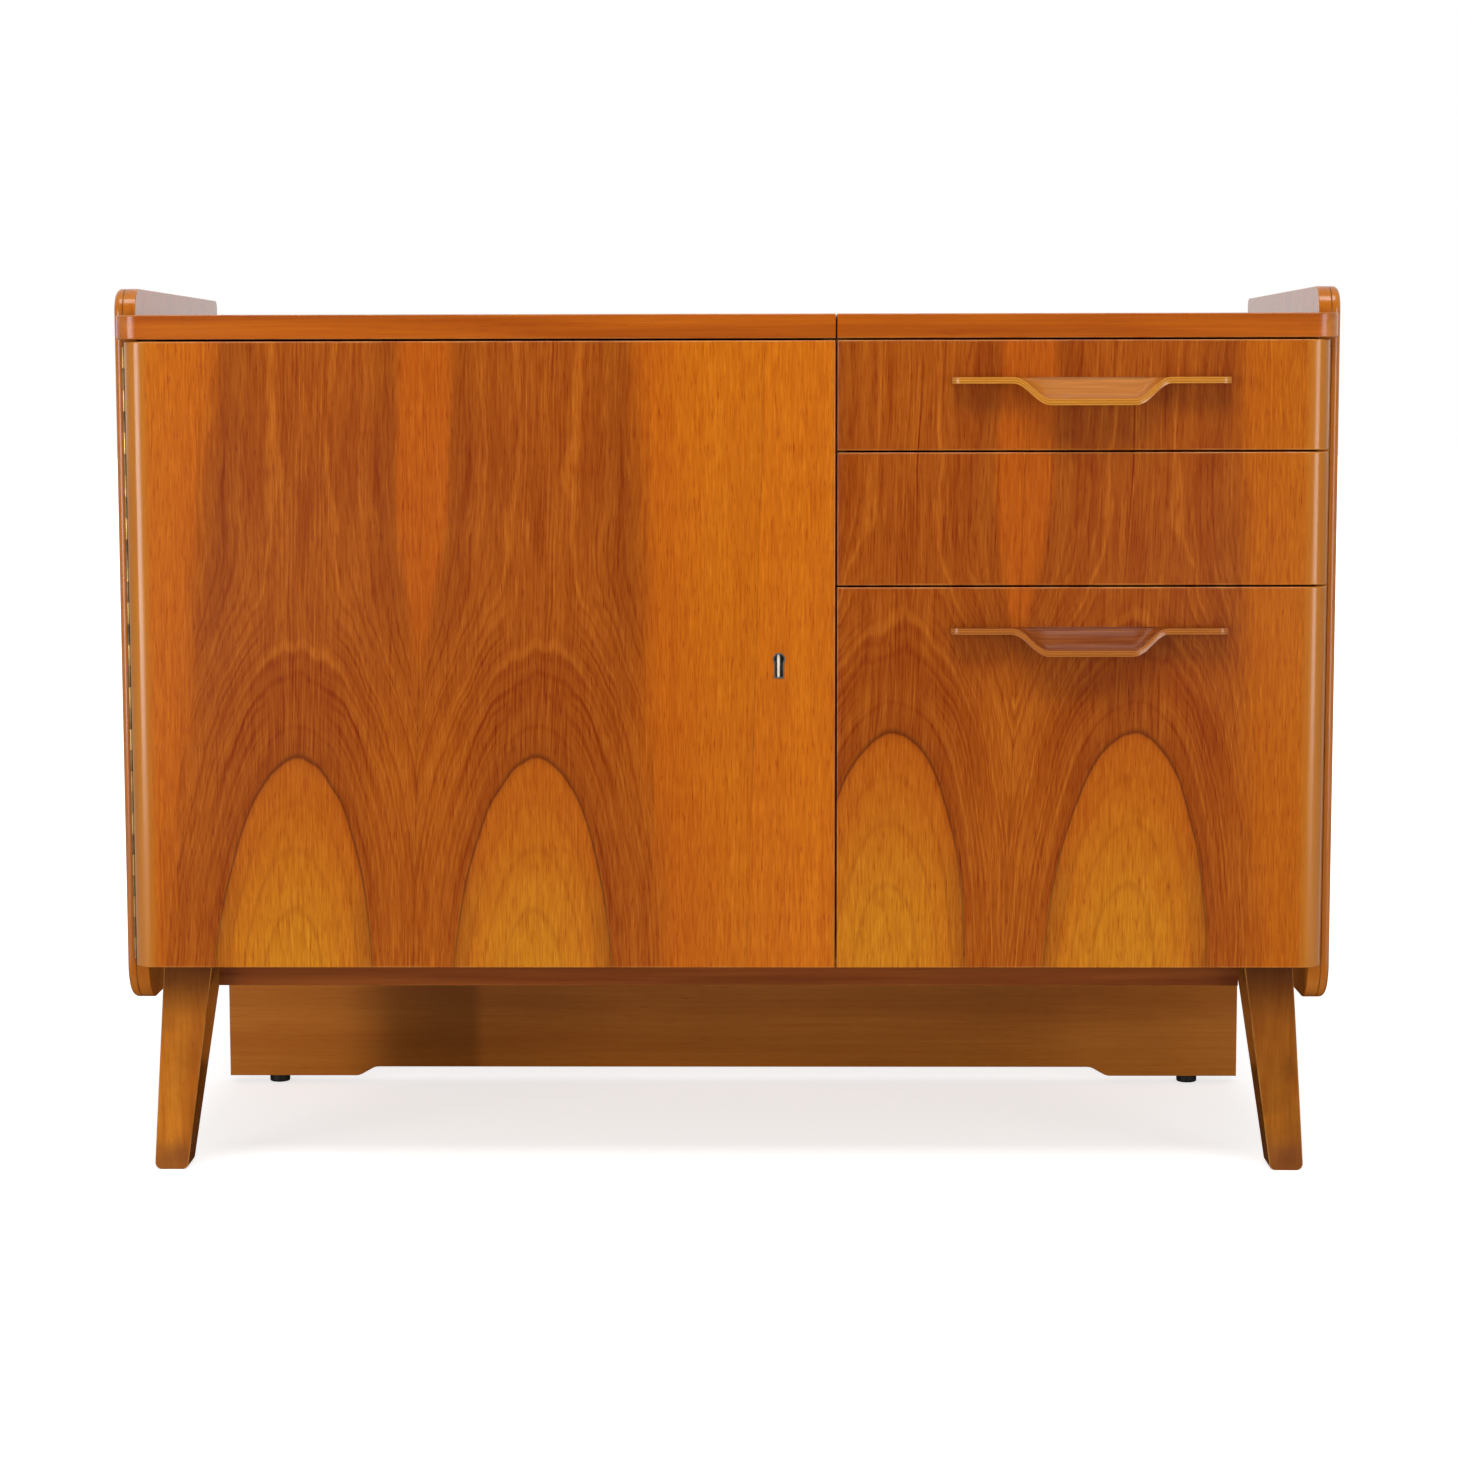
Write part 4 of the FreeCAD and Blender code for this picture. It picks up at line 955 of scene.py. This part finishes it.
def build_guard_pin():
    """Upright pin that stands in the keyhole, just behind its rim, in a pale, barely metallic finish that
    is a painted sheen in place of the nickel's reflection.
    """
    low, high = (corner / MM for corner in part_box("keyhole_bush"))
    middle = (low + high) / 2
    place = (middle.x - guard_left, low.y + guard_behind, middle.z)
    mesh = bmesh.new()
    bmesh.ops.create_cone(mesh, cap_ends=True, segments=guard_sides, radius1=guard_radius,
                          radius2=guard_radius, depth=high.z - low.z - 2 * keyhole_rim)
    bmesh.ops.bevel(mesh, geom=sharp_edges(mesh), offset=guard_end_round, segments=guard_round_steps,
                    profile=0.5, affect="EDGES")
    bmesh.ops.translate(mesh, vec=place, verts=mesh.verts)
    bmesh.ops.scale(mesh, vec=(MM, MM, MM), verts=mesh.verts)
    # Pale, barely metallic finish: a painted sheen in place of the nickel's reflection
    pale_sheen = metal("guard_nickel_painted_sheen", rgb(238, 228, 212), rgb(178, 166, 150), 0.5, 0.3, 6.0, metallic=0.1)
    piece = link_piece("keyhole_guard_pin", mesh, pale_sheen)
    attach(piece, "door")


def add_camera():
    yaw, pitch, roll = (radians(angle) for angle in (camera_yaw, camera_pitch, camera_roll))
    ahead = Vector((sin(yaw) * cos(pitch), cos(yaw) * cos(pitch), -sin(pitch)))
    right = Vector((cos(yaw), -sin(yaw), 0))
    up = right.cross(ahead)
    side = right * cos(roll) + up * sin(roll)
    top = up * cos(roll) - right * sin(roll)
    data = bpy.data.cameras.new("camera")
    data.lens = camera_lens
    data.sensor_width = camera_sensor
    data.clip_end = camera_far
    camera = bpy.data.objects.new("camera", data)
    camera.matrix_world = Matrix((side, top, -ahead)).transposed().to_4x4()
    camera.location = Vector(camera_place) * MM
    bpy.context.scene.collection.objects.link(camera)
    bpy.context.scene.camera = camera


def add_lamp(name, place, aim, size, power):
    data = bpy.data.lights.new(name, "AREA")
    data.shape = "RECTANGLE"
    data.size, data.size_y = size
    data.energy = power
    lamp = bpy.data.objects.new(name, data)
    lamp.location = place
    lamp.rotation_euler = (Vector(aim) - Vector(place)).to_track_quat("-Z", "Y").to_euler()
    bpy.context.scene.collection.objects.link(lamp)


def add_world():
    """White surroundings where they are seen, dim behind the viewer in reflections, soft as a light."""
    world = bpy.data.worlds.new("studio")
    bpy.context.scene.world = world
    g = Graph(world, "BACKGROUND")
    depth = g.split("Generated")[1]
    glossy = g.ray("Glossy")
    seen = g.math("MAXIMUM", g.ray("Camera"), g.ray("Transmission"))
    mirrored = glossy * (mirror_dim + (1.0 - mirror_dim) * g.smooth(*mirror_band, depth))
    lighting = world_light * (1.0 - g.math("MAXIMUM", seen, glossy))
    g.feed(g.shader.inputs["Strength"], seen + mirrored + lighting)
    g.shader.inputs["Color"].default_value = white


def add_floor():
    """Pale floor that reads white round the cabinet, keeps its shadow and is dim in reflections."""
    data = bpy.data.meshes.new("floor")
    turns = [(-1, -1), (1, -1), (1, 1), (-1, 1)]
    corners = [(x * floor_reach, y * floor_reach, 0) for x, y in turns]
    data.from_pydata(corners, [], [(0, 1, 2, 3)])
    floor = bpy.data.objects.new("floor", data)
    bpy.context.scene.collection.objects.link(floor)
    g = Finish("pale_floor")
    away = g.math("SQRT", g.x * g.x + g.y * g.y)
    lift = g.ray("Camera") * (floor_lift + floor_far_lift * g.smooth(*floor_lift_band, away))
    g.feed(g.shader.inputs["Emission Strength"], lift)
    g.shader.inputs["Emission Color"].default_value = white
    in_front = g.ray("Glossy") * g.smooth(*floor_mirrored_band, abs(g.x))
    colour = g.mix(in_front, floor_tone, floor_mirrored)
    data.materials.append(g.close(colour, floor_roughness, Specular_IOR_Level=0.0))


dress_fronts()
dress_outer_woods()
dress_inner_woods()
dress_metals()
add_handles()
build_guard_pin()
add_floor()
add_world()
for lamp_row in LAMPS:
    add_lamp(*lamp_row)
add_camera()
bpy.context.scene.view_settings.view_transform = "Standard"
